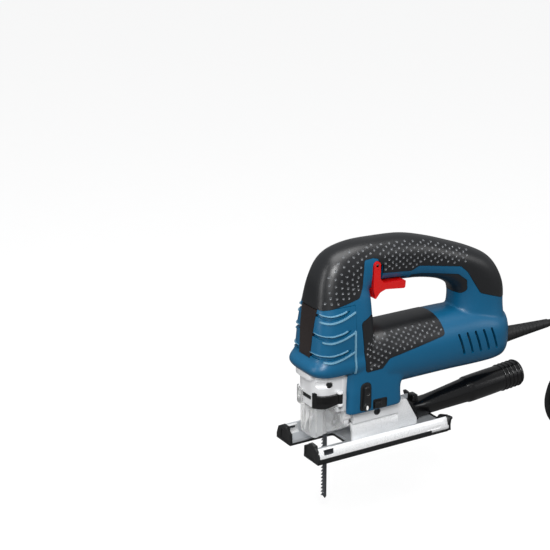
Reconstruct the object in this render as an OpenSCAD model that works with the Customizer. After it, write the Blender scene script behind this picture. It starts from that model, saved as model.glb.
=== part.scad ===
// Corded jigsaw with a closed D-handle and orbital action.
// Frame: the origin is the middle of the sole's contact face, -X is the blade end,
// +X the cord end, -Y the tool's left side and +Z up. Millimetres.

/* [Foot] */
// Length of the foot over its slide shoe
foot_l = 156; // [140:1:170]
// Width of the foot over its slide shoe
foot_w = 76; // [74:1:84]
// Thickness of the slide shoe's sole
shoe_t = 2.2; // [1.6:0.1:2.4]
// Thickness of the foot's pressed plate
plate_t = 2.6; // [2:0.1:2.8]
// Height of the foot's side rails above the sole
rail_top = 14; // [11:0.5:14]
// Width of the open slot that the blade runs in
slot_w = 26; // [25:1:30]
// Length of the open slot
slot_l = 50; // [46:1:52]
// Outer radius of the arch that the foot tilts on
arch_r = 18; // [17:0.25:18]
// Height of the tilt axis above the sole
tilt_z = 11; // [10:0.25:11.5]

/* [Housing] */
// Width of the head
head_w = 60; // [58:1:66]
// Distance of the head's front face from the origin
head_front = 70; // [69:0.5:73]
// Height of the head's lower rim
chin_z = 82; // [80:0.5:84]
// Diameter of the motor barrel
barrel_d = 64; // [64:0.5:70]
// Distance of the housing's rear face from the origin
body_rear = 168; // [164:1:176]
// Height of the handle's top
handle_top = 203; // [201:0.5:208]
// Width of the handle
handle_w = 39; // [38:0.5:42]
// Wall thickness of the shells
wall = 3.2; // [2.8:0.1:3.4]
// Thickness of the rubber on the handle and the barrel
grip_t = 1.8; // [1.2:0.1:2.2]

/* [Motor and gear] */
// Height of the armature's axis
motor_z = 85; // [84:0.25:86]
// Diameter of the armature shaft
shaft_d = 8; // [6:0.5:8]
// Teeth of the pinion on the armature shaft
pinion_teeth = 8; // [7:1:9]
// Teeth of the driven gear
gear_teeth = 48; // [44:1:48]
// Gear module
gear_m = 0.85; // [0.8:0.01:0.87]
// Stroke of the blade
stroke = 26; // [20:1:26]

/* [Plunger and blade] */
// Distance of the plunger's axis from the origin
plunger_x = 47; // [46.5:0.1:47.5]
// Diameter of the plunger
plunger_d = 10; // [8:0.5:11]
// Width of the blade
blade_w = 6.3; // [5:0.1:7]
// Thickness of the blade
blade_t = 1.3; // [1:0.1:1.6]
// Reach of the blade below the sole at mid stroke
blade_reach = 59; // [40:1:75]
// Diameter of the guide roller
roller_d = 11; // [9:0.5:11]

/* [Dust tube and cord] */
// Outer diameter of the dust tube's rear sleeve
tube_d = 27; // [26:0.5:28]
// Radius of the dust tube's outlet bore
tube_bore_r = 11; // [9.5:0.25:11.5]
// Distance of the dust tube's rear end from the origin
tube_end = 190; // [180:1:196]
// Diameter of the cord
cord_d = 7.5; // [6.5:0.1:8]
// Length of the strain relief outside the housing
sleeve_l = 60; // [52:1:60]

/* [Hidden] */

gap = 0.3;             // between parts that move past each other
fit = 0.05;            // radial clearance of a running fit
points = 28;           // points round a housing section
wide = 200;            // cutter, larger than the tool is wide

// Section [x, z, tilt, width, depth, roundness] of the housing; the tilt is the direction
// of the spine in the XZ plane, and the depth is measured square to it.
rear_post = 4;                       // rear face of the front post, behind the origin
post_d = head_front - rear_post;     // depth of the front post
post_x = -(head_front + rear_post) / 2;
flare = 6;                           // how far the chin stands proud in front
handle_d = 43.5;                     // depth of the handle over the trigger
head_sections = [
    [post_x - 1.25, chin_z, 90, head_w - 2, post_d + 1.5, 4],
    [post_x - flare / 2, chin_z + 10, 90, head_w + 2, post_d + flare, 4],
    [post_x - 1, chin_z + 26, 90, head_w, post_d + 2, 4],
    [post_x - 0.5, chin_z + 46, 90, head_w - 2, post_d + 1, 3.6],
    [post_x + 1, chin_z + 68, 88, head_w - 8, post_d - 3, 3.2],
    [post_x + 3, 165, 75, head_w - 13, post_d - 6, 2.8],
    [-27, 174, 52, handle_w + 5, 62, 2.6],
    [-15, handle_top - 25, 28, handle_w + 2, 54, 2.5],
    [5, handle_top - 21.5, 6, handle_w + 1, handle_d, 2.4],
    [36, handle_top - 24, -6, handle_w, handle_d + 1, 2.4],
    [62, handle_top - 29.5, -15, handle_w - 1, handle_d - 1, 2.4],
    [88, handle_top - 37, -22, handle_w - 1, handle_d - 4, 2.4],
    [112, handle_top - 47, -32, handle_w - 1, 42, 2.4],
    [128, handle_top - 59, -50, handle_w, 49, 2.4],
    [134.5, handle_top - 74, -72, handle_w + 1, 53, 2.5],
    [135.5, 112, -88, handle_w + 4, 53, 2.6],
    [135.5, 96, -90, handle_w + 12, 54, 2.8]];
barrel_sections = [
    [-26, motor_z, 0, barrel_d - 16, barrel_d - 12, 2.6],
    [2, motor_z, 0, barrel_d - 3, barrel_d - 1, 2.4],
    [20, motor_z, 0, barrel_d, barrel_d, 2.3],
    [84, motor_z, 0, barrel_d, barrel_d, 2.3],
    [122, motor_z - 1, 0, barrel_d - 2, barrel_d - 3, 2.6],
    [150, motor_z - 4, 0, barrel_d - 6, barrel_d - 9, 3],
    [body_rear - 6, motor_z - 7, 0, barrel_d - 10, barrel_d - 18, 3],
    [body_rear, motor_z - 7.5, 0, barrel_d - 18, barrel_d - 28, 3]];
leg_z = 41.5;                        // underside of the leg
leg_rear = 24;
leg_front = 41;
leg_sections = [
    [(leg_rear - leg_front) / 2, leg_z, 90, head_w - 4, leg_front + leg_rear - 3, 7],
    [(leg_rear - leg_front) / 2, leg_z + 5, 90, head_w - 1, leg_front + leg_rear, 7],
    [(leg_rear - leg_front) / 2, 58, 90, head_w, leg_front + leg_rear, 7],
    [(leg_rear - leg_front) / 2 + 4, 68, 90, head_w, leg_front + leg_rear + 10, 5],
    [(leg_rear - leg_front) / 2 + 4, motor_z, 90, head_w, leg_front + leg_rear + 10, 4]];

// Signed power, for superellipses
function spow(v, e) = sign(v) * pow(abs(v), e);

// Points of a section, d inside the surface; size and on make a smaller copy further along
function ring(s, d, size = 1, on = 0) = [for (i = [0 : points - 1])
    let (a = 360 * (i + 0.5) / points,
        u = size * (s[3] / 2 - d) * spow(cos(a), 2 / s[5]),
        v = size * (s[4] / 2 - d) * spow(sin(a), 2 / s[5]))
    [s[0] + on * cos(s[2]) - v * sin(s[2]), u, s[1] + on * sin(s[2]) + v * cos(s[2])]];

// Links reach a little way into each other, so that no film is left between them
module chain(list, d) {
    last = len(list) - 2;
    for (i = [0 : last]) hull() polyhedron(
        concat(ring(list[i], d), ring(list[i + 1], d), ring(list[i + 1], d, 0.6, i < last ? 1 : 0)),
        [[for (k = [0 : points - 1]) k], [for (k = [points - 1 : -1 : 0]) points + k],
         for (k = [0 : points - 1]) let (n = (k + 1) % points)
            each [[k, points + n, n], [k, points + k, points + n]],
         for (k = [1 : points - 2]) [2 * points, 2 * points + k, 2 * points + k + 1]]);
}

// The housing's outer form, d inside its surface
module form(d) {
    chain(head_sections, d);
    chain(barrel_sections, d);
    chain(leg_sections, d);
}

// The hollow inside the shells, open under the chin and the leg and closed at the rear
module hollow() {
    intersection() {
        form(wall);
        translate([-wide, -wide, -wide]) cube([wide + body_rear - wall, 2 * wide, 3 * wide]);
    }
}

// Everything on one side of the part's middle plane
module half(side) {
    translate([-wide, side < 0 ? -wide : 0, -wide]) cube([3 * wide, wide, 3 * wide]);
}

// Outline in the XZ plane, extruded from y = a to y = b
module prism(outline, a = -wide, b = wide) {
    translate([0, b, 0]) rotate([90, 0, 0]) linear_extrude(b - a) polygon(outline);
}

// Cylinders along X, Y and Z
module bar_x(r, x0, x1, y = 0, z = 0) {
    translate([x0, y, z]) rotate([0, 90, 0]) cylinder(r = r, h = x1 - x0, $fn = 48);
}
module bar_y(r, y0, y1, x = 0, z = 0) {
    translate([x, y1, z]) rotate([90, 0, 0]) cylinder(r = r, h = y1 - y0, $fn = 48);
}
module bar_z(r, z0, z1, x = 0, y = 0) {
    translate([x, y, z0]) cylinder(r = r, h = z1 - z0, $fn = 48);
}
module block(x0, x1, y0, y1, z0, z1) {
    translate([x0, y0, z0]) cube([x1 - x0, y1 - y0, z1 - z0]);
}

// Where rubber covers the housing, seen from the side
handle_rubber = [
    [-110, 148], [-60, 148], [-25, 154], [-20, 163], [-17, 186], [-8, 187], [2, 187], [3, 170],
    [38, 169], [46, 173], [97, 162], [106, 154], [122, 129], [150, 119], [200, 119],
    [200, 230], [-110, 230]];
barrel_rubber = [
    [-22, 79], [-26, 130.5], [-13, 136], [-3, 126], [51, 131], [55.5, 125], [68, 100], [7, 91], [-1, 79.2]];
inset_outline = [[100, 135], [114, 135], [118, 144], [114, 157], [100, 157]];
cover_top = 148;                     // top of the head cover
seam_x = -31;                        // rear edge of the head cover
strip_w = 22;                        // width of the strip down the nose

module cover_zone() {
    block(-wide, seam_x, -wide, wide, chin_z - 2, cover_top);
}
module strip_zone(d) {
    block(-wide, -head_front + 12, -strip_w / 2 - d, strip_w / 2 + d, chin_z + 13 - d, cover_top);
}
// Everything in a zone that lies less than t under the housing's surface, or outside it
module outside(t) {
    difference() {
        children();
        form(t);
    }
}
module skin(t) {
    intersection() {
        form(0);
        outside(t) children();
    }
}

// ---- Mechanism places ----
gear_z = motor_z + gear_m * (gear_teeth + pinion_teeth) / 2;   // axis of the driven gear
gear_x0 = -35;                       // front face of the gear
gear_x1 = -29;                       // rear face of the gear
crank_r = stroke / 2;
roller_r = 4;                        // crank roller
crank_pin_r = 2.5;
yoke_slack = 2.7;                    // room for the crank's sine against the constant ratio
yoke_half = roller_r + yoke_slack + gap;
yoke_z = yoke_half + 3.8;
yoke_y = crank_r + roller_r + 4.3;
slot_x0 = gear_x0 - 6.2;             // bottom of the yoke's slot
bush_r = plunger_d / 2 + 3;
clamp_z0 = 43.5;                     // lower face of the blade clamp at mid stroke
clamp_z1 = 59.5;
clamp_r = 7.5;
bush_low_z = [74.5, gear_z - yoke_z - crank_r - 0.5];
bush_top_z = [gear_z + yoke_z + crank_r + 1.5, gear_z + yoke_z + crank_r + 11.5];
front_bearing_x = -20;
rear_bearing_x = 114;
bearing_w = 7;
bearing_r = 11;
axle_r = 5;

// ---- Housing ----
lever_x = -19.5;                     // pivot of the orbital lever
lever_z = 45.5;
lever_l = 21;
slider_x = -9.5;                     // front end of the blower slider
slider_l = 9;
slider_travel = 5;
slider_z = 40.5;
slider_h = 7;
trigger_x = -3;                      // pivot of the trigger
trigger_z = 182;
trigger_w = 9;                       // half width of the finger bar
cheek_r = 3.8;                       // half width of the trigger's side bars
cheek_y = [handle_w / 2 - 2.2, handle_w / 2 + 1.9];
button_x = 22;
button_z = 176;
button_r = 5;
dial_x = body_rear - 13.5;
dial_z = 106;
dial_r = 9.5;
dial_w = 5;
sleeve_z = 70.5;
sleeve_r = 7;
screw_places = [[-13, 146], [72, 158.5], [117, 124], [151, 92], [101, 61.5], [8, 57]];
screw_head_y = 12;

// The outer form with the seats of the rubber, the strip and the inset sunk into it
module seated_form() {
    difference() {
        form(0);
        outside(grip_t) {
            prism(handle_rubber);
            prism(barrel_rubber);
            prism(inset_outline);
            strip_zone(0);
        }
    }
}

module vents() {
    for (i = [0 : 4], side = [-1, 1])
        translate([93 + 10.3 * i, side * (barrel_d / 2 - 2), 86 - 0.4 * i]) rotate([0, -22, 0])
            cube([2.4, 12, 25], center = true);
}

module shell(side) {
    difference() {
        union() {
            difference() {
                seated_form();
                hollow();
            }
            intersection() {
                form(grip_t + 0.4);
                union() {
                    block(rear_bearing_x, rear_bearing_x + bearing_w, -wide, wide,
                        motor_z - 40, motor_z + 22);
                    for (p = screw_places) bar_y(4, -wide, wide, p[0], p[1]);
                }
            }
        }
        half(-side);
        cover_zone();
        casting_room();
        // the armature bearing's seat
        bar_x(bearing_r + 0.1, rear_bearing_x - 1, rear_bearing_x + bearing_w + 1, 0, motor_z);
        // screws
        for (p = screw_places) {
            bar_y(1.7, -screw_head_y, screw_head_y + 1, p[0], p[1]);
            bar_y(3.4, screw_head_y - 2.4, wide, p[0], p[1]);
        }
        // trigger: side slots and finger slot
        block(trigger_x - 2, trigger_x + cheek_r + 4.4, -wide, wide, 144.5, trigger_z);
        block(trigger_x, trigger_x + 13.5, -wide, wide, 144.5, 162);
        for (s = [-1, 1]) block(trigger_x - cheek_r - 0.8, trigger_x, s < 0 ? -wide : cheek_y[0] - gap,
            s < 0 ? -cheek_y[0] + gap : wide, 144.5, trigger_z);
        bar_y(cheek_r + gap, -wide, wide, trigger_x, trigger_z);
        block(trigger_x, 36, -trigger_w - gap, trigger_w + gap, 140, 164);
        vents();
        // lock-on button, orbital lever, blower slider, speed dial and cord
        bar_y(button_r + gap, 0, wide, button_x, button_z);
        bar_y(3 + fit, -wide, 0, lever_x, lever_z);
        block(slider_x - gap, slider_x + slider_l + slider_travel + gap, -wide, 0,
            slider_z - gap, slider_z + slider_h + gap);
        bar_y(dial_r + 0.5, -dial_w / 2 - 0.4, dial_w / 2 + 0.4, dial_x, dial_z);
        bar_x(sleeve_r + 0.05, body_rear - 2 * wall - 6, body_rear + 20, 0, sleeve_z);
        bar_x(sleeve_r + 2.3, body_rear - 2 * wall - 6, body_rear - wall - 2, 0, sleeve_z);
    }
}

module housing_left() { color("#1F6088") shell(-1); }
module housing_right() { color("#1F6088") shell(1); }

// Blue hood with three ribs over the gear casting
module head_cover() {
    color("#24698F") difference() {
        intersection() {
            seated_form();
            cover_zone();
        }
        hollow();
        casting_room();
        for (z = [104, 122, 140]) difference() {
            block(-wide, seam_x - 4, -wide, wide, z, z + 2.2);
            form(1.2);
        }
    }
}

module handle_grip() {
    color("#2A2A2C") difference() {
        skin(grip_t) prism(handle_rubber);
        block(-wide, seam_x, -wide, wide, 0, cover_top);
        strip_zone(0.01);
        prism(inset_outline);
        bar_y(cheek_r + gap, -wide, wide, trigger_x, trigger_z);
        bar_y(button_r + gap, 0, wide, button_x, button_z);
    }
}

module motor_grip(side) {
    color("#2A2A2C") difference() {
        skin(grip_t) prism(barrel_rubber);
        half(-side);
    }
}
module motor_grip_left() { motor_grip(-1); }
module motor_grip_right() { motor_grip(1); }

module nose_strip() {
    color("#232325") skin(grip_t) strip_zone(-0.05);
}

module grip_inset() {
    color("#1C1C1D") skin(grip_t) prism(inset_outline);
}

// ---- Gear casting ----
nose_y = 21;                         // half width of the casting's nose
nose_x = head_front - 1.5;           // reach of the casting's nose
nose_round = 15;
cast_y = yoke_y + 2.3;               // half width of the gear chamber
leg_y = 21.5;
lever_y = nose_y + 2.8;              // hinge of the release lever
lever_hinge_x = -44.5;
arm_x = -32;                         // pivot of the roller arm
arm_z = 57;
ear_y = [14, 16.7];                  // ears that carry the guard
ear_x = -34;
ear_z = 27.5;

// Plan of the nose, d outside it
module nose_plan(d = 0, rear = -30) {
    intersection() {
        union() {
            for (s = [-1, 1]) translate([-nose_x + nose_round, s * (nose_y - nose_round)])
                circle(r = nose_round + d, $fn = 64);
            translate([-nose_x - d, -nose_y + nose_round]) square([nose_x + d, 2 * (nose_y - nose_round)]);
            translate([-nose_x + nose_round, -nose_y - d]) square([nose_x, 2 * (nose_y + d)]);
        }
        translate([-wide, -wide]) square([wide + rear, 2 * wide]);
    }
}

// Plan of the gear chamber, d outside it, with round front corners
module chamber_plan(d = 0) {
    front = -nose_x + 6;
    round = 12;
    for (s = [-1, 1]) translate([front + round, s * (cast_y - round)]) circle(r = round + d, $fn = 64);
    translate([front - d, -cast_y + round]) square([-20 - front + d, 2 * (cast_y - round)]);
    translate([front + round, -cast_y - d]) square([-20 - front - round, 2 * (cast_y + d)]);
}

// Room for the casting inside the shells and the head cover
module casting_room() {
    linear_extrude(chin_z + 2 + gap) nose_plan(gap);
    block(-wide, -32, -leg_y - gap, leg_y + gap, 0, chin_z + 2 + gap);
    linear_extrude(bush_top_z[0] + gap) chamber_plan(gap);
}

module gear_housing() {
    color("#C9CCCF") difference() {
        union() {
            translate([0, 0, 48]) linear_extrude(chin_z + 2 - 48) nose_plan();
            translate([0, 0, chin_z + 2]) linear_extrude(bush_top_z[0] - chin_z - 2) chamber_plan();
            bar_z(bush_r + 2.5, bush_top_z[0], bush_top_z[1], -plunger_x);
            block(-40, -20, -leg_y, leg_y, leg_z, chin_z + 2);
            block(-46, -39, -nose_y + 0.4, nose_y - 0.4, leg_z, 49);
            block(-21, 13, -leg_y, leg_y, leg_z, leg_z + 4);
            bar_x(bearing_r + 3, -20, -20 + bearing_w + 1, 0, motor_z);
            for (s = [-1, 1]) {
                prism([[ear_x - 4, leg_z + 1], [ear_x - 3, ear_z - 3.5], [ear_x + 3, ear_z - 3.5],
                    [ear_x + 6, leg_z + 1]], s < 0 ? -ear_y[1] : ear_y[0], s < 0 ? -ear_y[0] : ear_y[1]);
                bar_y(2.5, s < 0 ? -18 : 16, s < 0 ? -16 : 18, ear_x, ear_z);
            }
            for (z = [46.4, 60.3]) difference() {
                block(-47.5, -42, -lever_y - 2.6, -nose_y + 1, z, z + 2.3);
                bar_z(1.55, z - 1, z + 4, lever_hinge_x, -lever_y);
            }
        }
        // gear chamber, plunger bore, bush seats
        block(-nose_x + 8.5, gear_x1 + 1.5, -yoke_y - 0.5, yoke_y + 0.5, bush_low_z[1], bush_top_z[0] - 1);
        bar_z(plunger_d / 2 + 1, 60, 180, -plunger_x);
        bar_z(bush_r, bush_low_z[0], bush_low_z[1] + 1, -plunger_x);
        bar_z(bush_r, bush_top_z[0] - 2, bush_top_z[1] + 1, -plunger_x);
        bar_z(clamp_r + 2.5, 30, bush_low_z[0] - 1.5, -plunger_x);
        // roller arm's slot and pin
        block(-44, -26.4, -6.8, 6.8, 30, 66);
        bar_y(2.02, -12, 12, arm_x, arm_z);
        // armature shaft, bearing and gear axle
        bar_x(shaft_d / 2 + 1.2, gear_x0 - 3, 0, 0, motor_z);
        bar_x(gear_m * (pinion_teeth / 2 + 2), gear_x0 - 3, gear_x1 + 1.5, 0, motor_z);
        bar_x(bearing_r + 0.02, front_bearing_x, 0, 0, motor_z);
        bar_x(axle_r + 0.02, gear_x0, 0, 0, gear_z);
        // side window of the nose
        for (x = [-62, -57]) bar_y(2.4, -wide, -nose_y + 9, x, 72);
        block(-62, -57, -wide, -nose_y + 9, 69.6, 74.4);
    }
}

saddle_x = [-26, 27];
saddle_y = 18.8;
saddle_z = 23;
module bevel_saddle() {
    color("#D5D7DA") difference() {
        block(saddle_x[0], saddle_x[1], -saddle_y, saddle_y, saddle_z, leg_z);
        bar_x(arch_r + gap, -40, 40, 0, tilt_z);
        bar_y(1.6, -saddle_y - 1, -saddle_y + 8, screw_x, screw_z);
    }
}

// ---- Fixed inner parts ----
module bush_upper() {
    color("#B08D57") difference() {
        bar_z(bush_r - 0.02, bush_top_z[0] - 1, bush_top_z[1], -plunger_x);
        bar_z(plunger_d / 2 + fit, 0, 200, -plunger_x);
    }
}
module bush_lower() {
    color("#B08D57") difference() {
        bar_z(bush_r - 0.02, bush_low_z[0], bush_low_z[1], -plunger_x);
        bar_z(plunger_d / 2 + fit, 0, 200, -plunger_x);
    }
}

module bearing(x) {
    color("#9FA3A7") translate([x, 0, motor_z]) rotate([0, 90, 0]) rotate_extrude($fn = 64)
        polygon([[shaft_d / 2 + fit, 0], [shaft_d / 2 + 2.2, 0], [shaft_d / 2 + 2.2, 0.6],
            [bearing_r - 1.8, 0.6], [bearing_r - 1.8, 0], [bearing_r, 0], [bearing_r, bearing_w],
            [bearing_r - 1.8, bearing_w], [bearing_r - 1.8, bearing_w - 0.6],
            [shaft_d / 2 + 2.2, bearing_w - 0.6], [shaft_d / 2 + 2.2, bearing_w],
            [shaft_d / 2 + fit, bearing_w]]);
}
module bearing_front() { bearing(front_bearing_x); }
module bearing_rear() { bearing(rear_bearing_x); }

module gear_axle() {
    color("#8E9296") union() {
        bar_x(axle_r, gear_x0 + 0.2, -20, 0, gear_z);
        bar_x(axle_r + 3, gear_x1 + gap, gear_x1 + 1.4, 0, gear_z);
    }
}

stator_x = [32, 82];
core_r = 16.8;
module stator() {
    color("#7C5A3A") difference() {
        bar_x(barrel_d / 2 - wall - gap, stator_x[0], stator_x[1], 0, motor_z);
        bar_x(core_r + 0.6, stator_x[0] - 1, stator_x[1] + 1, 0, motor_z);
        for (x = [stator_x[0] - 1, stator_x[1] - 7]) bar_x(core_r + 7, x, x + 8, 0, motor_z);
    }
}

brush_x = 99;
brush_w = 4;                         // half width of the channel for a carbon brush
brush_h = 5;                         // half height of the channel
holder_in = 15;                      // inner end of the brush holders
holder_y = barrel_d / 2 - wall - 0.9;
commutator_r = 11.5;
module brush_holders() {
    color("#C9A24B") for (s = [-1, 1]) difference() {
        block(brush_x - brush_w - 1.5, brush_x + brush_w + 1.5, s < 0 ? -holder_y : holder_in,
            s < 0 ? -holder_in : holder_y, motor_z - brush_h - 1.5, motor_z + brush_h + 1.5);
        block(brush_x - brush_w, brush_x + brush_w, s < 0 ? -holder_y + 1.5 : holder_in - 1,
            s < 0 ? -holder_in + 1 : holder_y - 1.5, motor_z - brush_h, motor_z + brush_h);
    }
}
module carbon_brushes() {
    color("#2B2B2B") for (s = [-1, 1])
        block(brush_x - brush_w + 0.1, brush_x + brush_w - 0.1, s < 0 ? -holder_y + 4 : commutator_r + 0.2,
            s < 0 ? -commutator_r - 0.2 : holder_y - 4, motor_z - brush_h + 0.1, motor_z + brush_h - 0.1);
}

module switch_body() {
    color("#303236") union() {
        block(6, 44, -10, 10, 167, 186);
        block(12, 20, -4, 4, 161.2, 168);
        for (x = [33, 42])
            block(x - 1.5, x + 1.5, -handle_w / 2 + wall + 0.6, handle_w / 2 - wall - 0.6, 174, 180);
    }
}

module speed_module() {
    color("#2E4A3A") union() {
        block(124, 144, -12, 12, 97, 119);
        for (s = [-1, 1]) prism([[143.5, 101], [dial_x + 3, 103], [dial_x + 3, 109], [143.5, 111]],
            s < 0 ? -dial_w / 2 - 3 : dial_w / 2 + 0.6, s < 0 ? -dial_w / 2 - 0.6 : dial_w / 2 + 3);
        bar_y(1.5, -dial_w / 2 - 1, dial_w / 2 + 1, dial_x, dial_z);
        for (s = [-1, 1]) block(128, 140, s < 0 ? -18.5 : 12, s < 0 ? -12 : 18.5, 104, 108);
    }
}

module housing_screws() {
    color("#4A4C50") for (p = screw_places) difference() {
        union() {
            bar_y(1.6, -screw_head_y + 0.5, screw_head_y - 2.4, p[0], p[1]);
            bar_y(3.2, screw_head_y - 2.4, screw_head_y, p[0], p[1]);
        }
        bar_y(1.2, screw_head_y - 1.4, screw_head_y + 1, p[0], p[1]);
    }
}

// ---- Armature ----
module armature_shaft() {
    color("#A9ADB1") union() {
        bar_x(shaft_d / 2, gear_x1 + 2.2, rear_bearing_x + bearing_w + 2, 0, motor_z);
        translate([gear_x0 - 0.4, 0, motor_z]) rotate([0, 90, 0])
            linear_extrude(gear_x1 - gear_x0 + 2.8) gear_outline(pinion_teeth, 180 / pinion_teeth, 0.7);
    }
}
module armature_core() {
    color("#6D7075") translate([stator_x[0] + 3, 0, motor_z]) rotate([0, 90, 0]) difference() {
        cylinder(r = core_r, h = 44, $fn = 96);
        translate([0, 0, -1]) cylinder(r = shaft_d / 2, h = 50, $fn = 48);
        for (a = [0 : 30 : 330]) rotate(a) translate([core_r - 3, -0.9, -1]) cube([5, 1.8, 50]);
    }
}
module commutator() {
    color("#B5652F") translate([brush_x - 8, 0, motor_z]) rotate([0, 90, 0]) difference() {
        cylinder(r = commutator_r, h = 14, $fn = 96);
        translate([0, 0, -1]) cylinder(r = shaft_d / 2, h = 50, $fn = 48);
        for (a = [0 : 30 : 330]) rotate(a) translate([commutator_r - 0.6, -0.3, -1]) cube([2, 0.6, 20]);
    }
}
fan_r = 24.5;
module fan() {
    color("#3B3D40") translate([14, 0, motor_z]) rotate([0, 90, 0]) difference() {
        union() {
            cylinder(r = 8, h = 11, $fn = 48);
            cylinder(r = fan_r, h = 2, $fn = 96);
            for (a = [0 : 30 : 330]) rotate(a) translate([7, -0.8, 1]) cube([fan_r - 8, 1.6, 9]);
        }
        translate([0, 0, -1]) cylinder(r = shaft_d / 2, h = 50, $fn = 48);
    }
}

// Gear outline: straight-flanked teeth with backlash, thin at the tip
module gear_outline(teeth, turn, tip = 0.8) {
    pitch_r = gear_m * teeth / 2;
    step = 360 / teeth;
    polygon([for (i = [0 : teeth - 1], k = [0 : 3])
        let (a = turn + i * step + [-0.31, -0.1, 0.1, 0.31][k] * step,
             r = (k == 0 || k == 3) ? pitch_r - 1.05 * gear_m : pitch_r + tip * gear_m)
        [r * cos(a), r * sin(a)]]);
}

module drive_gear() {
    color("#85898D") translate([gear_x0, 0, gear_z]) rotate([0, 90, 0]) difference() {
        linear_extrude(gear_x1 - gear_x0) gear_outline(gear_teeth, 0);
        translate([0, 0, -1]) cylinder(r = axle_r + fit, h = 20, $fn = 64);
        translate([0, crank_r, -1]) cylinder(r = crank_pin_r, h = 20, $fn = 48);
    }
}
module crank_pin() {
    color("#B9BCBF") bar_x(crank_pin_r, slot_x0 + gap, gear_x1, crank_r, gear_z);
}
module crank_roller() {
    color("#9EA2A6") difference() {
        bar_x(roller_r, slot_x0 + gap, gear_x0 - 1.9, crank_r, gear_z);
        bar_x(crank_pin_r + fit, -60, 0, crank_r, gear_z);
    }
}
module counterweight() {
    color("#75797D") translate([gear_x0 - 1.6, 0, gear_z]) rotate([0, 90, 0]) linear_extrude(1.6)
        polygon([for (a = [200 : 10 : 340]) [19 * cos(a), 19 * sin(a)],
                 for (a = [340 : -10 : 200]) [7 * cos(a), 7 * sin(a)]]);
}

// ---- Plunger and blade ----
module plunger() {
    color("#C3C6C9") bar_z(plunger_d / 2, clamp_z1 - 4, bush_top_z[1] + 6, -plunger_x);
}
module yoke() {
    color("#8B8F93") difference() {
        block(-plunger_x + 2, gear_x0 - 2, -yoke_y, yoke_y, gear_z - yoke_z, gear_z + yoke_z);
        block(slot_x0, 0, -crank_r - roller_r - gap, crank_r + roller_r + gap,
            gear_z - yoke_half, gear_z + yoke_half);
        bar_z(plunger_d / 2 + 0.01, 0, 200, -plunger_x);
    }
}
shank_z = clamp_z1 - 5;
module blade_clamp() {
    color("#55585C") difference() {
        union() {
            bar_z(clamp_r, clamp_z0, clamp_z1 - 3, -plunger_x);
            bar_z(clamp_r - 1.2, clamp_z1 - 3, clamp_z1, -plunger_x);
        }
        bar_z(plunger_d / 2 + 0.01, clamp_z1 - 4, 200, -plunger_x);
        block(-plunger_x - blade_w / 2 - 0.02, -plunger_x + blade_w / 2 + 0.02,
            -blade_t / 2 - 0.02, blade_t / 2 + 0.02, 0, shank_z);
    }
}

tooth_pitch = 2.5;
tooth_h = 1.1;
module saw_blade() {
    front = -plunger_x - blade_w / 2;
    back = -plunger_x + blade_w / 2;
    low = -blade_reach;
    teeth = floor((blade_reach + 16) / tooth_pitch);
    color("#6A6D71") translate([0, blade_t / 2, 0]) rotate([90, 0, 0]) linear_extrude(blade_t) polygon([
        [back, shank_z], [front, shank_z],
        for (i = [0 : teeth - 1]) let (z = low + 3 + (teeth - i) * tooth_pitch)
            each [[front + tooth_h, z], [front, z - tooth_pitch + 0.4]],
        [front + tooth_h, low + 3], [front + 2.4, low], [back - 1, low], [back, low + 2]]);
}

roller_x = -plunger_x + blade_w / 2 + gap + roller_d / 2;
roller_z = 22;
module roller_arm() {
    color("#63676B") difference() {
        union() {
            bar_y(5, -6.4, 6.4, arm_x, arm_z);
            prism([[arm_x - 4, arm_z], [arm_x - 3.5, 31], [roller_x - 2.5, roller_z + 6],
                [roller_x - 3, roller_z - 3], [roller_x + 3, roller_z - 4], [arm_x + 3, 30],
                [arm_x + 4, arm_z]], -5.4, 5.4);
        }
        bar_y(2 + fit, -20, 20, arm_x, arm_z);
        bar_y(1.5, -20, 20, roller_x, roller_z);
        bar_y(roller_d / 2 + 0.6, -2.8, 2.8, roller_x, roller_z);
    }
}
module arm_pin() { color("#B9BCBF") bar_y(2, -11, 11, arm_x, arm_z); }
module roller_pin() { color("#B9BCBF") bar_y(1.5, -5.4, 5.4, roller_x, roller_z); }
module guide_roller() {
    color("#A5A9AD") translate([roller_x, 2.5, roller_z]) rotate([90, 0, 0]) rotate_extrude($fn = 64)
        polygon([[1.5 + fit, 0], [roller_d / 2, 0], [roller_d / 2, 1.5], [roller_d / 2 - 0.8, 1.8],
            [roller_d / 2 - 0.8, 3.2], [roller_d / 2, 3.5], [roller_d / 2, 5], [1.5 + fit, 5]]);
}

// ---- Blade release lever and guard ----
module release_lever() {
    color("#17181A") difference() {
        union() {
            translate([0, 0, 49]) linear_extrude(11) difference() {
                nose_plan(3.6, -44.5);
                nose_plan(0.6, -30);
                translate([-100, 2]) square([100, 100]);
            }
            bar_z(2.4, 49, 60, lever_hinge_x, -lever_y);
        }
        bar_z(1.55, 48, 61, lever_hinge_x, -lever_y);
    }
}
module lever_pin() { color("#B9BCBF") bar_z(1.5, 46.6, 62.4, lever_hinge_x, -lever_y); }

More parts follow.
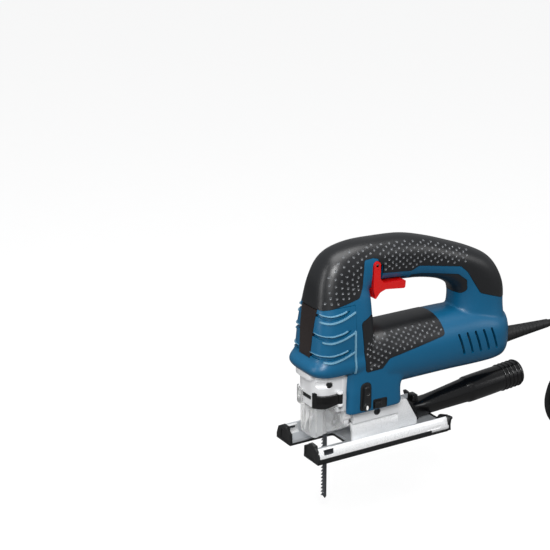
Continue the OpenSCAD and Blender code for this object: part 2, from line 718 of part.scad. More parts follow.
guard_y = 19;                        // half width of the guard
guard_t = 1.8;
guard_front = nose_x - 2;
guard_z = [16, 46];
guard_side_z = 24;
module guard_plan(d) {
    round = 12;
    for (s = [-1, 1]) translate([-guard_front + round, s * (guard_y - round)]) circle(r = round - d, $fn = 64);
    translate([-guard_front + d, -guard_y + round]) square([guard_front - 38, 2 * (guard_y - round)]);
    translate([-guard_front + round, -guard_y + d]) square([guard_front - 38 - round + d, 2 * (guard_y - d)]);
}
module guard() {
    color([0.85, 0.88, 0.9, 0.35]) difference() {
        union() {
            translate([0, 0, guard_z[0]]) linear_extrude(guard_z[1] - guard_z[0]) difference() {
                guard_plan(0);
                guard_plan(guard_t);
                translate([-38, -wide]) square([wide, 2 * wide]);
            }
            for (s = [-1, 1]) prism([[-40, 44], [-40, 25], [ear_x - 3, 23.6], [ear_x + 4, 24], [ear_x + 6, ear_z],
                [ear_x + 4, 32], [-38, 44]], s < 0 ? -guard_y : ear_y[1] + gap, s < 0 ? -ear_y[1] - gap : guard_y);
        }
        // lower rim rises at the sides
        for (s = [-1, 1]) rotate([0, 90, 0]) translate([0, 0, -100]) linear_extrude(100)
            polygon([[-10, s * 13], [-guard_z[0], s * 13], [-guard_side_z + 1.5, s * guard_y],
                [-guard_side_z, s * 30], [-10, s * 30]]);
        block(-46.4, 0, -30, 30, leg_z - gap, 60);
        // slots that slide onto the ears' studs
        block(ear_x - 2.8, 0, -30, 30, ear_z - 2.8, ear_z + 2.8);
    }
}

// ---- Controls ----
module trigger() {
    y = [cheek_y[0] - 3, cheek_y[1]];
    bar_top = 158;
    color("#C8140F") difference() {
        union() {
            for (s = [-1, 1]) {
                bar_y(cheek_r, s < 0 ? -y[1] : y[0], s < 0 ? -y[0] : y[1], trigger_x, trigger_z);
                prism([[trigger_x - cheek_r, trigger_z], [trigger_x - cheek_r, 160], [trigger_x - 2.6, 152],
                    [trigger_x - 3.2, 145.5], [trigger_x - 1, 147], [trigger_x + 4, 151], [trigger_x + 9, 151],
                    [trigger_x + 9, bar_top], [trigger_x + cheek_r, 161], [trigger_x + cheek_r, trigger_z]],
                    s < 0 ? -y[1] : cheek_y[0], s < 0 ? -cheek_y[0] : y[1]);
            }
            prism([[trigger_x - 1.6, 148.3], [trigger_x - 1, 147], [trigger_x + 4, 151],
                [trigger_x + 9, 151], [trigger_x + 9, bar_top], [trigger_x - 1.6, bar_top]],
                -y[1], y[1]);
            block(trigger_x + 8, 31, -trigger_w, trigger_w, 151, bar_top);
            bar_y(cheek_r, -y[0] - 1, y[0] + 1, trigger_x, trigger_z);
        }
        bar_y(1.5 + fit, -30, 30, trigger_x, trigger_z);
    }
}
module trigger_pin() {
    color("#B9BCBF") bar_y(1.5, -cheek_y[1] + 0.6, cheek_y[1] - 0.6, trigger_x, trigger_z);
}

button_out = handle_w / 2 + 2.4;
button_in = 13.4;                    // inner end of the lock-on button
module lock_button() {
    color("#C8140F") union() {
        bar_y(button_r, button_in, button_out, button_x, button_z);
        bar_y(button_r + 1, button_in, button_in + 1.4, button_x, button_z);
    }
}
module speed_dial() {
    color("#1B1B1C") difference() {
        bar_y(dial_r, -dial_w / 2, dial_w / 2, dial_x, dial_z);
        bar_y(1.5 + fit, -10, 10, dial_x, dial_z);
        for (a = [0 : 20 : 340]) translate([dial_x, 0, dial_z]) rotate([0, a, 0])
            translate([dial_r, 0, 0]) rotate([0, 45, 0]) cube([1, 20, 1], center = true);
    }
}
control_y = head_w / 2;              // outer face of the leg
module orbital_lever() {
    color("#18191B") union() {
        bar_y(3, -control_y - 0.4, -control_y + 6, lever_x, lever_z);
        bar_y(4.4, -control_y - 3.4, -control_y - 0.4, lever_x, lever_z);
        prism([[lever_x - 4.2, lever_z], [lever_x - 3, lever_z + lever_l], [lever_x + 3, lever_z + lever_l],
            [lever_x + 4.2, lever_z]], -control_y - 3.4, -control_y - 0.4);
    }
}
module blower_slider() {
    color("#18191B") union() {
        block(slider_x, slider_x + slider_l, -control_y - 1.6, -control_y + 4.8,
            slider_z, slider_z + slider_h);
        block(slider_x - 1.5, slider_x + slider_l + 1.5, -control_y + 4.6, -control_y + 5.6,
            slider_z + 4, slider_z + slider_h + 1);
    }
}

// ---- Foot ----
screw_x = -2;
screw_z = 31;
plate_z = shoe_t + plate_t;
rail_foot = foot_w / 2 - 1.2;        // outside of the rail at its foot
module foot_plan(d) {
    difference() {
        translate([-foot_l / 2 + 2 + d, -rail_foot + d]) square([foot_l - 4 - 2 * d, 2 * (rail_foot - d)]);
        translate([-foot_l, -slot_w / 2 - d]) square([foot_l / 2 + slot_l, slot_w + 2 * d]);
    }
}
rail_lean = 4.4;                     // how far the rail leans inwards at its top
rail_w = 2.3;
module foot_plate() {
    color("#E0E2E4") difference() {
        union() {
            translate([0, 0, shoe_t]) linear_extrude(plate_t) foot_plan(0);
            for (s = [-1, 1]) translate([-foot_l / 2 + 2, 0, 0]) rotate([90, 0, 90])
                linear_extrude(foot_l - 4) polygon([[s * rail_foot, shoe_t + 1], [s * (rail_foot - rail_lean), rail_top],
                    [s * (rail_foot - rail_lean - rail_w), rail_top], [s * (rail_foot - rail_w), shoe_t + 1]]);
        }
        block(-foot_l / 2 + 8, -foot_l / 2 + 19, -foot_w, foot_w, 7.2, 12.6);
    }
}
arch_t = 3;
collar_x = 28.5;
collar_top = 35;
mouth_x = 40.5;                      // top of the slanted joint between collar and dust tube
module bevel_arch() {
    color("#DCDEE0") difference() {
        union() {
            bar_x(arch_r, saddle_x[0], collar_x, 0, tilt_z);
            block(saddle_x[0], collar_x, -arch_r, arch_r, plate_z, tilt_z);
            // collar whose slanted rear edge meets the dust tube's flange
            prism([[collar_x - 1, plate_z], [collar_x, collar_top], [mouth_x - 2, collar_top],
                [mouth_x + 11.6, 11], [mouth_x + 11.6, plate_z]], -16, 16);
        }
        bar_x(arch_r - arch_t, -60, 60, 0, tilt_z);
        block(-60, 60, -arch_r + arch_t, arch_r - arch_t, 0, tilt_z);
        block(-60, 60, -13.2, 13.2, 0, 31);
        block(-60, 60, -wide, wide, -arch_r, plate_z);
    }
}
lip_z = 4.4;
module slide_shoe() {
    color("#1A1B1C") difference() {
        union() {
            linear_extrude(shoe_t) difference() {
                translate([-foot_l / 2, -foot_w / 2]) square([foot_l, foot_w]);
                translate([-foot_l, -slot_w / 2 + 0.5]) square([foot_l / 2 + slot_l - 0.5, slot_w - 1]);
            }
            for (s = [-1, 1]) {
                block(-foot_l / 2, 54, s < 0 ? -foot_w / 2 : foot_w / 2 - 1,
                    s < 0 ? -foot_w / 2 + 1 : foot_w / 2, 0, lip_z);
                // front cap over the end of each prong
                translate([-foot_l / 2, 0, 0]) rotate([90, 0, 90]) linear_extrude(1.8)
                    polygon([[s * (slot_w / 2 - 0.5), 0], [s * foot_w / 2, 0], [s * foot_w / 2, lip_z],
                        [s * (rail_foot - rail_lean), rail_top + 1.8], [s * 22, rail_top + 2.4],
                        [s * (slot_w / 2 - 0.5), rail_top - 3]]);
                block(-foot_l / 2, -foot_l / 2 + 5, s < 0 ? -rail_foot + rail_lean + 0.4 : 21,
                    s < 0 ? -21 : rail_foot - rail_lean - 0.4, rail_top + 0.2, rail_top + 1.8);
            }
            // rear wall and its clip
            translate([foot_l / 2 - 1.8, 0, 0]) rotate([90, 0, 90]) linear_extrude(1.8)
                polygon([[-foot_w / 2, 0], [foot_w / 2, 0], [foot_w / 2 - 1, 9],
                    [rail_foot - rail_lean, rail_top + 1], [20, rail_top - 3], [16, 5.6], [-16, 5.6],
                    [-20, rail_top - 3], [-rail_foot + rail_lean, rail_top + 1], [-foot_w / 2 + 1, 9]]);
        }
    }
}
module bevel_screw() {
    color("#3A3C3F") union() {
        bar_y(1.55, -saddle_y, -saddle_y + 8, screw_x, screw_z);
        translate([screw_x, -saddle_y, screw_z]) rotate([90, 0, 0]) cylinder(r = 2.9, h = 0.7, $fn = 6);
    }
}

// ---- Dust tube ----
tube_rise = 4.8;                     // degrees
tube_x0 = 44;
tube_z0 = 13;
module tube_frame() {
    translate([tube_x0, 0, tube_z0]) rotate([0, -tube_rise, 0]) rotate([0, 90, 0]) children();
}
tube_l = (tube_end - tube_x0) / cos(tube_rise);
knob_x = 57;                         // knob on top of the tube
module dust_tube() {
    color("#121314") difference() {
        union() {
            // flange against the collar of the arch
            prism([[mouth_x, 33], [mouth_x + 12.4, 11], [mouth_x + 12.4, 6.5], [mouth_x + 16.5, 6.5],
                [mouth_x + 16.5, 11], [mouth_x + 4, 33]], -12, 12);
            // body, from a chamfered box to a round tube
            hull() {
                translate([mouth_x + 13, 0, 0]) rotate([90, 0, 90]) linear_extrude(1) polygon([
                    [-11, 6], [11, 6], [11, 14.5], [5, 22.5], [-5, 22.5], [-11, 14.5]]);
                tube_frame() translate([0, 0, 74]) cylinder(r = tube_d / 2 - 1.6, h = 4, $fn = 64);
            }
            tube_frame() translate([0, 0, 77]) cylinder(r = tube_d / 2, h = tube_l - 77, $fn = 96);
            for (i = [0 : 4]) tube_frame() translate([0, 0, tube_l - 24 + 5 * i])
                cylinder(r = tube_d / 2 + 0.7, h = 1.6, $fn = 96);
            bar_z(2.4, 20, 28, knob_x);
            bar_z(3.4, 27, 30.4, knob_x);
            tube_spigot();
        }
        tube_frame() translate([0, 0, tube_l - 26]) cylinder(r = tube_bore_r, h = 40, $fn = 96);
        tube_frame() translate([0, 0, 3]) cylinder(r = tube_bore_r - 5, h = tube_l, $fn = 96);
        block(20, mouth_x + 9, -9, 9, 8.5, 19);
    }
}
// Spigot that plugs into the arch's tunnel
module tube_spigot() {
    prism([[30, 6.2], [mouth_x + 14, 6.2], [mouth_x + 14, 9], [mouth_x + 4, 28], [30, 28]], -11.8, 11.8);
}

// ---- Cord ----
exit_z = 72;                         // height of the cord where it leaves the sleeve
module cord_sleeve() {
    color("#17181A") union() {
        bar_x(sleeve_r + 2, body_rear - wall - 3.4, body_rear - wall - 0.2, 0, sleeve_z);
        bar_x(sleeve_r, body_rear - wall - 0.4, body_rear + 1, 0, sleeve_z);
        translate([body_rear + 0.4, 0, sleeve_z]) rotate([0, 90 - atan((exit_z - sleeve_z) / sleeve_l), 0])
            cylinder(r1 = 8.5, r2 = cord_d / 2 + 0.6, h = sleeve_l - 0.4, $fn = 48);
    }
}

// Free cord: route of the hanging stretch from the sleeve to the coil, points chosen by hand
cord_route = [
    [228, 0, 72], [236, 0, 71], [247, 0, 67], [256, 0, 60], [262, 0, 50], [264, 1, 38], [264, 3, 25],
    [264, 8, 12], [264, 17, 0], [264, 26, -12], [264, 31, -25], [265, 34, -38], [268, 34, -51],
    [275, 34, -62], [285, 34, -69], [297, 34, -71], [308, 34, -71]];
turns_wide = 3;
turns_high = 3;
lay = cord_d + 0.3;                  // spacing of the turns
ring_x = 308;                        // middle of the coil
ring_y = -15;
ring_r = 41;                         // radius at the middle of the turns
floor_level = -74.5;                 // what the coil lies on
coil_w = lay * (turns_wide - 1) + cord_d;
coil_h = lay * (turns_high - 1) + cord_d;
plug_r = 13;
plug_place = [339, -4, floor_level + coil_h + plug_r + 0.1];
plug_turn = -70;                     // heading of the plug on the coil

function unit(v) = v / norm(v);
// Round cord along a route; side is a direction that the route never takes
module cord_along(route, side, sides = 8) {
    n = len(route);
    rings = [for (i = [0 : n - 1])
        let (t = unit(route[min(n - 1, i + 1)] - route[max(0, i - 1)]), u = unit(cross(t, side)), v = cross(u, t))
        each [for (j = [0 : sides - 1]) let (a = 360 * (j + 0.5) / sides)
            route[i] + cord_d / 2 * (cos(a) * u + sin(a) * v)]];
    polyhedron(rings, concat(
        [[for (j = [0 : sides - 1]) j]],
        [for (i = [0 : n - 2], j = [0 : sides - 1]) let (k = (j + 1) % sides)
            each [[i * sides + j, (i + 1) * sides + k, i * sides + k],
                  [i * sides + j, (i + 1) * sides + j, (i + 1) * sides + k]]],
        [[for (j = [sides - 1 : -1 : 0]) (n - 1) * sides + j]]));
}
module cord() { color("#161617") cord_along(cord_route, [0, 1, 0], 10); }

// Outline of the bundle of turns, grown by d
module bundle(d) {
    corner = cord_d / 2;
    for (x = [-1, 1], z = [-1, 1])
        translate([x * (coil_w / 2 - corner), z * (coil_h / 2 - corner)]) circle(r = corner + d, $fn = 32);
    square([coil_w + 2 * d, coil_h - 2 * corner], center = true);
    square([coil_w - 2 * corner, coil_h + 2 * d], center = true);
}
module cord_coil() {
    color("#161617") translate([ring_x, ring_y, floor_level + coil_h / 2])
        rotate_extrude($fn = 96) translate([ring_r, 0]) bundle(0);
}

// Strap round the bundle of turns
module cord_tie() {
    strap = 0.8;
    strap_w = 14;                    // degrees round the coil
    color("#1E1F21") translate([ring_x, ring_y, floor_level + coil_h / 2]) rotate(-100 - strap_w / 2)
        rotate_extrude(angle = strap_w, $fn = 96) translate([ring_r, 0]) difference() {
            bundle(strap + 0.05);
            bundle(0.05);
        }
}

module plug() {
    boot_l = 12;                     // strain relief
    body_l = 32;
    pin_l = 19;
    color("#161617") translate(plug_place) rotate([0, 90, plug_turn]) union() {
        cylinder(r1 = 5, r2 = 7.5, h = boot_l + 0.2, $fn = 32);
        translate([0, 0, boot_l]) cylinder(r1 = 10, r2 = plug_r, h = 10, $fn = 48);
        translate([0, 0, boot_l + 10]) cylinder(r = plug_r, h = body_l - 10, $fn = 48);
        for (s = [-1, 1]) translate([0, s * 9.5, boot_l + body_l - 0.5]) cylinder(r = 2.4, h = pin_l + 0.5, $fn = 24);
    }
}

housing_left();
housing_right();
head_cover();
handle_grip();
motor_grip_left();
motor_grip_right();
nose_strip();
grip_inset();
gear_housing();
bevel_saddle();
bush_upper();
bush_lower();
bearing_front();
bearing_rear();
gear_axle();
stator();
brush_holders();
carbon_brushes();
switch_body();
speed_module();
housing_screws();
cord_sleeve();
armature_shaft();
armature_core();
commutator();
fan();
drive_gear();
crank_pin();
crank_roller();
counterweight();
plunger();
yoke();
blade_clamp();
saw_blade();
roller_arm();
roller_pin();
guide_roller();
release_lever();
guard();
trigger();
lock_button();
speed_dial();
orbital_lever();
blower_slider();
foot_plate();
bevel_arch();
slide_shoe();
bevel_screw();
dust_tube();
cord();
cord_coil();
cord_tie();
plug();
arm_pin();
trigger_pin();
lever_pin();
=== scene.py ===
# %% [markdown]
# # A corded jigsaw with a closed handle
# A jigsaw drives a short blade up and down through a foot that slides over the board. This
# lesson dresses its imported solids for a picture. Every number is in millimetres until a mesh
# is made, because that is how such a tool is drawn, and the frame is the solids' own: -X is
# the blade end, +X the cord end, -Y the tool's left side and Z is up from the sole.

# %% Load the frame
import math

import bmesh
import bpy
import numpy as np
from mathutils import Matrix, Vector
from mathutils.bvhtree import BVHTree
from mathutils.kdtree import KDTree


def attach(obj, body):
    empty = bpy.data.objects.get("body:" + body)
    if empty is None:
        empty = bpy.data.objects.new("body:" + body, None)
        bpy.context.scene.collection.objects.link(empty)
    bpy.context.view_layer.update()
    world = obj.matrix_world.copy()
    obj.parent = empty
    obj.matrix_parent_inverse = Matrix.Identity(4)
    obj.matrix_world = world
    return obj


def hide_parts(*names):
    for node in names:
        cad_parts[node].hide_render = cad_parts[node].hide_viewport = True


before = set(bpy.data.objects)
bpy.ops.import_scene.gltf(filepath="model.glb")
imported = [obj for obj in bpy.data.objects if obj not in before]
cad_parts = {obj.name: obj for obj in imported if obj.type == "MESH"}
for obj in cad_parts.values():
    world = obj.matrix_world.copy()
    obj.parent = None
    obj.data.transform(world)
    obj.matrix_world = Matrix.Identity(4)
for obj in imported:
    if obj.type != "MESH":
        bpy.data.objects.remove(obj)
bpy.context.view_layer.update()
MM = 0.001

# %% [markdown]
# ## Camera
# The camera stands to the tool's left front and a little above it. A long lens from about a
# metre and a half away keeps the rails and the handle nearly parallel, as in a catalogue.

# %% Camera
camera = bpy.data.objects.new("camera", bpy.data.cameras.new("camera"))
bpy.context.scene.collection.objects.link(camera)
turn = math.radians(-30.93)
rise = math.radians(19.29)
back = Vector((math.sin(turn) * math.cos(rise), -math.cos(turn) * math.cos(rise),
               math.sin(rise)))
camera.rotation_mode = "QUATERNION"
camera.rotation_quaternion = (-back).to_track_quat("-Z", "Y")
camera.location = (-0.82277, -1.20183, 0.67469)
camera.data.lens = 105.7
camera.data.sensor_width = 36
camera.data.clip_start = 0.05
camera.data.clip_end = 20
bpy.context.scene.camera = camera
print("camera distance to the origin:", round(camera.location.length, 3), "m")

# %% [markdown]
# ## Nodes
# Materials and Geometry Nodes are both trees of nodes, so one small function serves them all.
# It adds a node, sets its settings, and gives each named input a value or a link.

# %% Node helper
def add(tree, kind, inputs=None, **settings):
    node = tree.nodes.new(kind)
    for name, value in settings.items():
        setattr(node, name, value)
    for name, value in (inputs or {}).items():
        socket = node.inputs[name]
        if isinstance(value, bpy.types.NodeSocket):
            tree.links.new(value, socket)
        else:
            socket.default_value = value
    return node


def linear(hex_colour):
    """An sRGB colour such as 1F6088, as the linear numbers that a shader takes."""
    parts = [int(hex_colour[i:i + 2], 16) / 255 for i in (0, 2, 4)]
    return [c / 12.92 if c <= 0.04045 else ((c + 0.055) / 1.055) ** 2.4 for c in parts] + [1]

# %% [markdown]
# ## What every finish has
# Moulded, cast and pressed surfaces differ in colour, gloss and grain, but each has the same
# three layers: a slow drift of shade, a gloss that is a little uneven, and a fine relief. One
# function builds these layers, and each finish below says what its own numbers mean. The grain
# is worked out from its real size in millimetres. Grain under half a millimetre is too fine to
# show at this distance, so it is drawn at about that size.

# %% Finish
def surface(name, colour, shade, roughness, uneven, grain, relief, drift=30, **shader):
    """colour and shade are hex values, grain and drift are sizes and relief a depth in mm."""
    material = bpy.data.materials.new(name)
    material.use_nodes = True
    tree = material.node_tree
    tree.nodes.clear()
    place = add(tree, "ShaderNodeTexCoord").outputs["Object"]
    cloud = add(tree, "ShaderNodeTexNoise", {
        "Vector": place, "Scale": 1 / (drift * MM), "Detail": 3})
    tone = add(tree, "ShaderNodeMix", {"Factor": cloud.outputs["Fac"]}, data_type="RGBA")
    tone.inputs[6].default_value = linear(colour)
    tone.inputs[7].default_value = linear(shade)
    speck = add(tree, "ShaderNodeTexNoise", {
        "Vector": place, "Scale": 1 / (grain * MM), "Detail": 2})
    gloss = add(tree, "ShaderNodeMapRange", {
        "Value": speck.outputs["Fac"], "From Min": 0.3, "From Max": 0.7,
        "To Min": roughness - uneven, "To Max": roughness + uneven})
    bump = add(tree, "ShaderNodeBump", {
        "Height": speck.outputs["Fac"], "Distance": relief * MM, "Strength": 1.0})
    skin = add(tree, "ShaderNodeBsdfPrincipled", {
        "Base Color": tone.outputs[2], "Roughness": gloss.outputs[0], "Normal": bump.outputs[0]})
    for socket, value in shader.items():
        skin.inputs[socket.replace("_", " ")].default_value = value
    add(tree, "ShaderNodeOutputMaterial", {"Surface": skin.outputs[0]})
    return material

# %% [markdown]
# ## Cord, plug and tie
# A mains lead of rubber is round, black and slightly matt. It leaves the strain relief, hangs
# in a bend of about four times its own thickness and ends in a coil wound for storage, nine
# turns in three layers of three, with its plug lying on top. The route is the one that the
# solids have. A Bezier curve through given points is the natural way to draw it, because
# a cord is a path with a thickness.

# %% Cord finish
cord_rubber = surface("rubber_cord_sheath", "101011", "0B0B0C", 0.5, 0.06, 0.6, 0.02, IOR=1.52)

# %% Cord route
cord_d = 7.5
free_route = [
    (228, 0, 72), (236, 0, 71), (247, 0, 67), (256, 0, 60), (262, 0, 50), (264, 1, 38),
    (264, 3, 25), (264, 8, 12), (264, 17, 0), (264, 26, -12), (264, 31, -25), (265, 34, -38),
    (268, 34, -51), (275, 34, -62), (285, 34, -69), (297, 34, -70.6)]
coil_x, coil_y, coil_r = 308, -15, 41
floor_z = -74.5
lay = cord_d + 0.3                   # spacing of the turns
bundle_h = 2 * lay + cord_d
layer_z = [floor_z + cord_d / 2 + lay * i for i in range(3)]
orders = ([1, 0, -1], [-1, 0, 1], [1, 0, -1])        # the turns of each layer, inwards or outwards
turn_places = [(coil_r + lay * row, z) for z, order in zip(layer_z, orders) for row in order]
last_turn = len(turn_places) - 1
plug_z = floor_z + bundle_h + 13.1
plug_start = Vector((339, -4, plug_z))
plug_heading = math.radians(-70)

# %% Coil
hop_at, hop_len = 0.86, 0.14         # in turns: where the cord moves over to its next place
lift_at, lift_len = 8.6, 0.59        # in turns: where it climbs to the plug
per_turn = 18                        # points
coil_end = 9.18                      # turns


def ease(t):
    """From 0 to 1 with a soft start and end."""
    t = min(1, max(0, t))
    return t * t * (3 - 2 * t)


def coil_point(n):
    """The cord's place after n turns, which run clockwise seen from above."""
    k = min(last_turn, int(n))
    here, after = turn_places[k], turn_places[min(last_turn, k + 1)]
    t = ease((n - k - hop_at) / hop_len)
    r = here[0] + (after[0] - here[0]) * t
    z = here[1] + (after[1] - here[1]) * t
    z += (plug_z - z) * ease((n - lift_at) / lift_len)
    a = math.radians(90 - 360 * n)
    return (coil_x + r * math.cos(a), coil_y + r * math.sin(a), z)


route = free_route + [coil_point(i / per_turn) for i in range(int(coil_end * per_turn) + 1)]
plug_gap = 1.5
route.append((plug_start.x - plug_gap * math.cos(plug_heading),
              plug_start.y - plug_gap * math.sin(plug_heading), plug_z))
print("points on the cord:", len(route))

# %% Cord
line = bpy.data.curves.new("mains_cord", "CURVE")
line.dimensions = "3D"
line.resolution_u = 6
line.bevel_depth = cord_d / 2 * MM
line.bevel_resolution = 4
line.use_fill_caps = True
spline = line.splines.new("BEZIER")
spline.bezier_points.add(len(route) - 1)
for point, place in zip(spline.bezier_points, route):
    point.co = Vector(place) * MM
    point.handle_left_type = point.handle_right_type = "AUTO"
mains_cord = bpy.data.objects.new("mains_cord", line)
bpy.context.scene.collection.objects.link(mains_cord)
line.materials.append(cord_rubber)

# %% [markdown]
# ## The tool's finishes
# The covers are glass-filled nylon, moulded in steel moulds with a fine spark-eroded texture,
# so they shine softly and show no fibre. The grips are a soft rubber moulded over them, which
# is matt and drinks light. The trigger is polished ABS, a clean gloss.

# %% Plastics and rubber
nylon = surface("moulded_nylon_blue", "06557A", "054C6E", 0.38, 0.05, 0.7, 0.012, drift=60,
                IOR=1.53, Specular_IOR_Level=0.42)
# Painted highlight: a pale, glossy blue for the gill lips and the bead, for the glint along their
# edges.
painted_highlight_nylon = surface("burnished_nylon_blue", "6C96AC", "5C889F", 0.22, 0.04, 0.7, 0.008, drift=12,
                    IOR=1.53)
rubber = surface("overmoulded_rubber", "111214", "161719", 0.36, 0.05, 0.5, 0.02, IOR=1.52)
# Painted highlight: a paler, glossier rubber for the dimples, for the glint inside each pit.
pit_painted_highlight = surface("polished_pit_rubber", "6A6C6F", "505255", 0.25, 0.04, 0.5, 0.01, IOR=1.52)
strip_plastic = surface("nylon_nose_strip", "1A1413", "221A18", 0.3, 0.04, 0.6, 0.01, IOR=1.52)
abs_red = surface("polished_abs_red", "C90D0B", "BB0A08", 0.24, 0.03, 0.8, 0.004, IOR=1.54,
                  Coat_Weight=0.3)
abs_gloss = surface("polished_abs_black", "060607", "0A0A0B", 0.2, 0.03, 0.9, 0.006, IOR=1.54)
nylon_black = surface("moulded_nylon_black", "0D0E0F", "131415", 0.4, 0.06, 0.6, 0.015, IOR=1.53)
acetal_black = surface("sliding_acetal_black", "090A0B", "0F1011", 0.45, 0.07, 0.6, 0.02, IOR=1.48)

# %% [markdown]
# The gear housing is die-cast magnesium under a silver powder coat: bright, even and a little
# grainy. The foot is aluminium, blasted and clear anodised, so it is the brightest metal. The
# blade is carbon steel with a dark scale left from hardening.

# %% Metals
cast_silver = surface("powder_coated_casting", "F0F0F1", "E6E7E8", 0.36, 0.06, 0.5, 0.02,
                      Metallic=0.2)
bright_alu = surface("anodised_aluminium", "F8F8F8", "F0F1F2", 0.28, 0.05, 0.5, 0.01,
                     Metallic=0.35)
# Painted shade: a darker copy of the foot's aluminium, for the plate and slopes between the rails.
painted_shade_alu = surface("brushed_aluminium", "CDD0D3", "BFC3C7", 0.34, 0.06, 0.5, 0.015,
                      Metallic=0.55)
blade_steel = surface("hardened_blade_steel", "75787C", "46494D", 0.36, 0.08, 0.8, 0.02, drift=4,
                      Metallic=0.7)
ground_steel = surface("ground_steel", "B9BCC0", "A9ACB0", 0.28, 0.06, 0.6, 0.01, Metallic=1.0)
black_steel = surface("blackened_steel", "46484B", "37393C", 0.4, 0.08, 0.6, 0.02, Metallic=0.9)
bearing_bronze = surface("sintered_bronze", "A9824C", "8F6C3D", 0.42, 0.08, 0.6, 0.02,
                         Metallic=0.95)
copper_wire = surface("enamelled_copper", "8C4A26", "6F381C", 0.33, 0.08, 0.7, 0.05, Metallic=0.8)
brass = surface("drawn_brass", "C8A352", "B48F43", 0.28, 0.06, 0.6, 0.01, Metallic=1.0)
carbon = surface("pressed_carbon", "26262A", "1C1C1F", 0.6, 0.08, 0.5, 0.03)
circuit_green = surface("solder_mask_green", "1F4A33", "183B29", 0.3, 0.05, 0.9, 0.02)

# %% [markdown]
# The chip guard is injection-moulded polycarbonate, glass clear. The real plastic has an IOR of
# 1.58. It is drawn at 1.48, so that the thin wall reflects a little less and stays light. Some
# roughness stands for the fine scratches that dust leaves.

# %% Clear guard
clear_guard = surface("clear_polycarbonate", "FCFCFC", "F4F5F5", 0.1, 0.05, 1.5, 0.05,
                      Transmission_Weight=0.84, IOR=1.48)

# %% [markdown]
# ## Mesh helpers
# Four moves make almost every piece here: a solid skinned over rings of points, an outline
# given a thickness, a cut or join of two solids, and a soft edge. Real mouldings have no sharp
# edges, and it is the thin highlight along a rounded edge that makes a piece look real.

# %% Skin
RIGHT, LEFT, UP = (0, 1, 0), (0, -1, 0), (0, 0, 1)


def collect(mesh, name):
    piece = bpy.data.objects.new(name, mesh)
    bpy.context.scene.collection.objects.link(piece)
    return piece


def skin_rings(name, rings, closed=False):
    """A solid over rings of points in mm, each ring as long as the next. Closed joins the ends."""
    rings = np.asarray(rings, float)
    count, size = rings.shape[:2]
    faces = []
    for i in range(count if closed else count - 1):
        a, b = i * size, (i + 1) % count * size
        faces += [(a + j, a + (j + 1) % size, b + (j + 1) % size, b + j) for j in range(size)]
    if not closed:
        faces.append(tuple(range(size))[::-1])
        faces.append(tuple(range((count - 1) * size, count * size)))
    mesh = bpy.data.meshes.new(name)
    mesh.from_pydata((rings.reshape(-1, 3) * MM).tolist(), [], faces)
    shape = bmesh.new()
    shape.from_mesh(mesh)
    bmesh.ops.recalc_face_normals(shape, faces=shape.faces)
    shape.to_mesh(mesh)
    shape.free()
    return collect(mesh, name)

# %% Rounded outlines
def rounded(outline, radii, steps=6):
    """The outline with an arc at each corner; radii is one number or one for each corner."""
    count = len(outline)
    sizes = [radii] * count if np.isscalar(radii) else radii
    points = []
    for i, size in enumerate(sizes):
        corner, before, after = (np.array(outline[k % count], float) for k in (i, i - 1, i + 1))
        u, v = before - corner, after - corner
        lu, lv = np.linalg.norm(u), np.linalg.norm(v)
        half = math.acos(max(-1, min(1, u @ v / lu / lv))) / 2
        cut = min(size / max(math.tan(half), 1e-3), 0.49 * lu, 0.49 * lv)
        if size == 0 or half > 1.5:                  # nothing to round, or nearly straight on
            points.append(corner)
            continue
        middle = u / lu + v / lv
        centre = corner + middle / np.linalg.norm(middle) * cut / math.cos(half)
        first, last = corner + u / lu * cut - centre, corner + v / lv * cut - centre
        sweep = math.pi - 2 * half
        points += [centre + (math.sin((1 - t) * sweep) * first + math.sin(t * sweep) * last)
                   / math.sin(sweep) for t in np.linspace(0, 1, steps)]
    return points

# %% Plates and turned pieces
def side_plate(name, outline, y0, y1):
    """An outline in the XZ plane, from y0 to y1."""
    return skin_rings(name, [[(x, y, z) for x, z in outline] for y in (y0, y1)])


def floor_plate(name, outline, z0, z1):
    """An outline in the XY plane, from z0 to z1."""
    return skin_rings(name, [[(x, y, z) for x, y in outline] for z in (z0, z1)])


def rail_plate(name, outline, x0, x1):
    """An outline in the YZ plane, from x0 to x1."""
    return skin_rings(name, [[(x, y, z) for y, z in outline] for x in (x0, x1)])


def block(name, x, y, z):
    return floor_plate(name, [(x[0], y[0]), (x[1], y[0]), (x[1], y[1]), (x[0], y[1])], *z)


def turned(name, profile, start, along, around=48, hollow=False):
    """A turned piece: profile is (distance along, radius) pairs, in mm from start. A hollow one
    is a ring, whose profile runs round its own section."""
    axis = Vector(along).normalized()
    side = axis.orthogonal().normalized()
    up = axis.cross(side)
    rings = [[Vector(start) + axis * d + (side * math.cos(a) + up * math.sin(a)) * r
              for a in np.linspace(0, 2 * math.pi, around, endpoint=False)] for d, r in profile]
    return skin_rings(name, list(zip(*rings)) if hollow else rings, closed=hollow)


def capsule(name, start, end, r):
    """A round-ended rod between two points."""
    start, end = Vector(start), Vector(end)
    length = (end - start).length
    dome = np.linspace(0.08, math.pi / 2, 9)
    profile = [(-r * math.cos(a), r * math.sin(a)) for a in dome]
    profile += [(length + r * math.cos(a), r * math.sin(a)) for a in dome[::-1]]
    return turned(name, profile, start, end - start, 32)

# %% Bake, cut and join
def bake(piece):
    """Turns a piece's modifiers into its plain mesh."""
    bpy.context.view_layer.update()
    scene_state = bpy.context.evaluated_depsgraph_get()
    mesh = bpy.data.meshes.new_from_object(piece.evaluated_get(scene_state))
    piece.modifiers.clear()
    piece.data = mesh
    return piece


def discard(*pieces):
    for piece in pieces:
        bpy.data.objects.remove(piece)


def combine(piece, tools, how="DIFFERENCE", keep=False):
    """Cuts the tools from a piece, joins them to it or keeps what they share."""
    for tool in tools:
        step = piece.modifiers.new("shape", "BOOLEAN")
        step.operation = how
        step.object = tool
        step.solver = "MANIFOLD"
    bake(piece)
    if not keep:
        discard(*tools)
    return piece


def join(piece, *others):
    return combine(piece, others, "UNION")

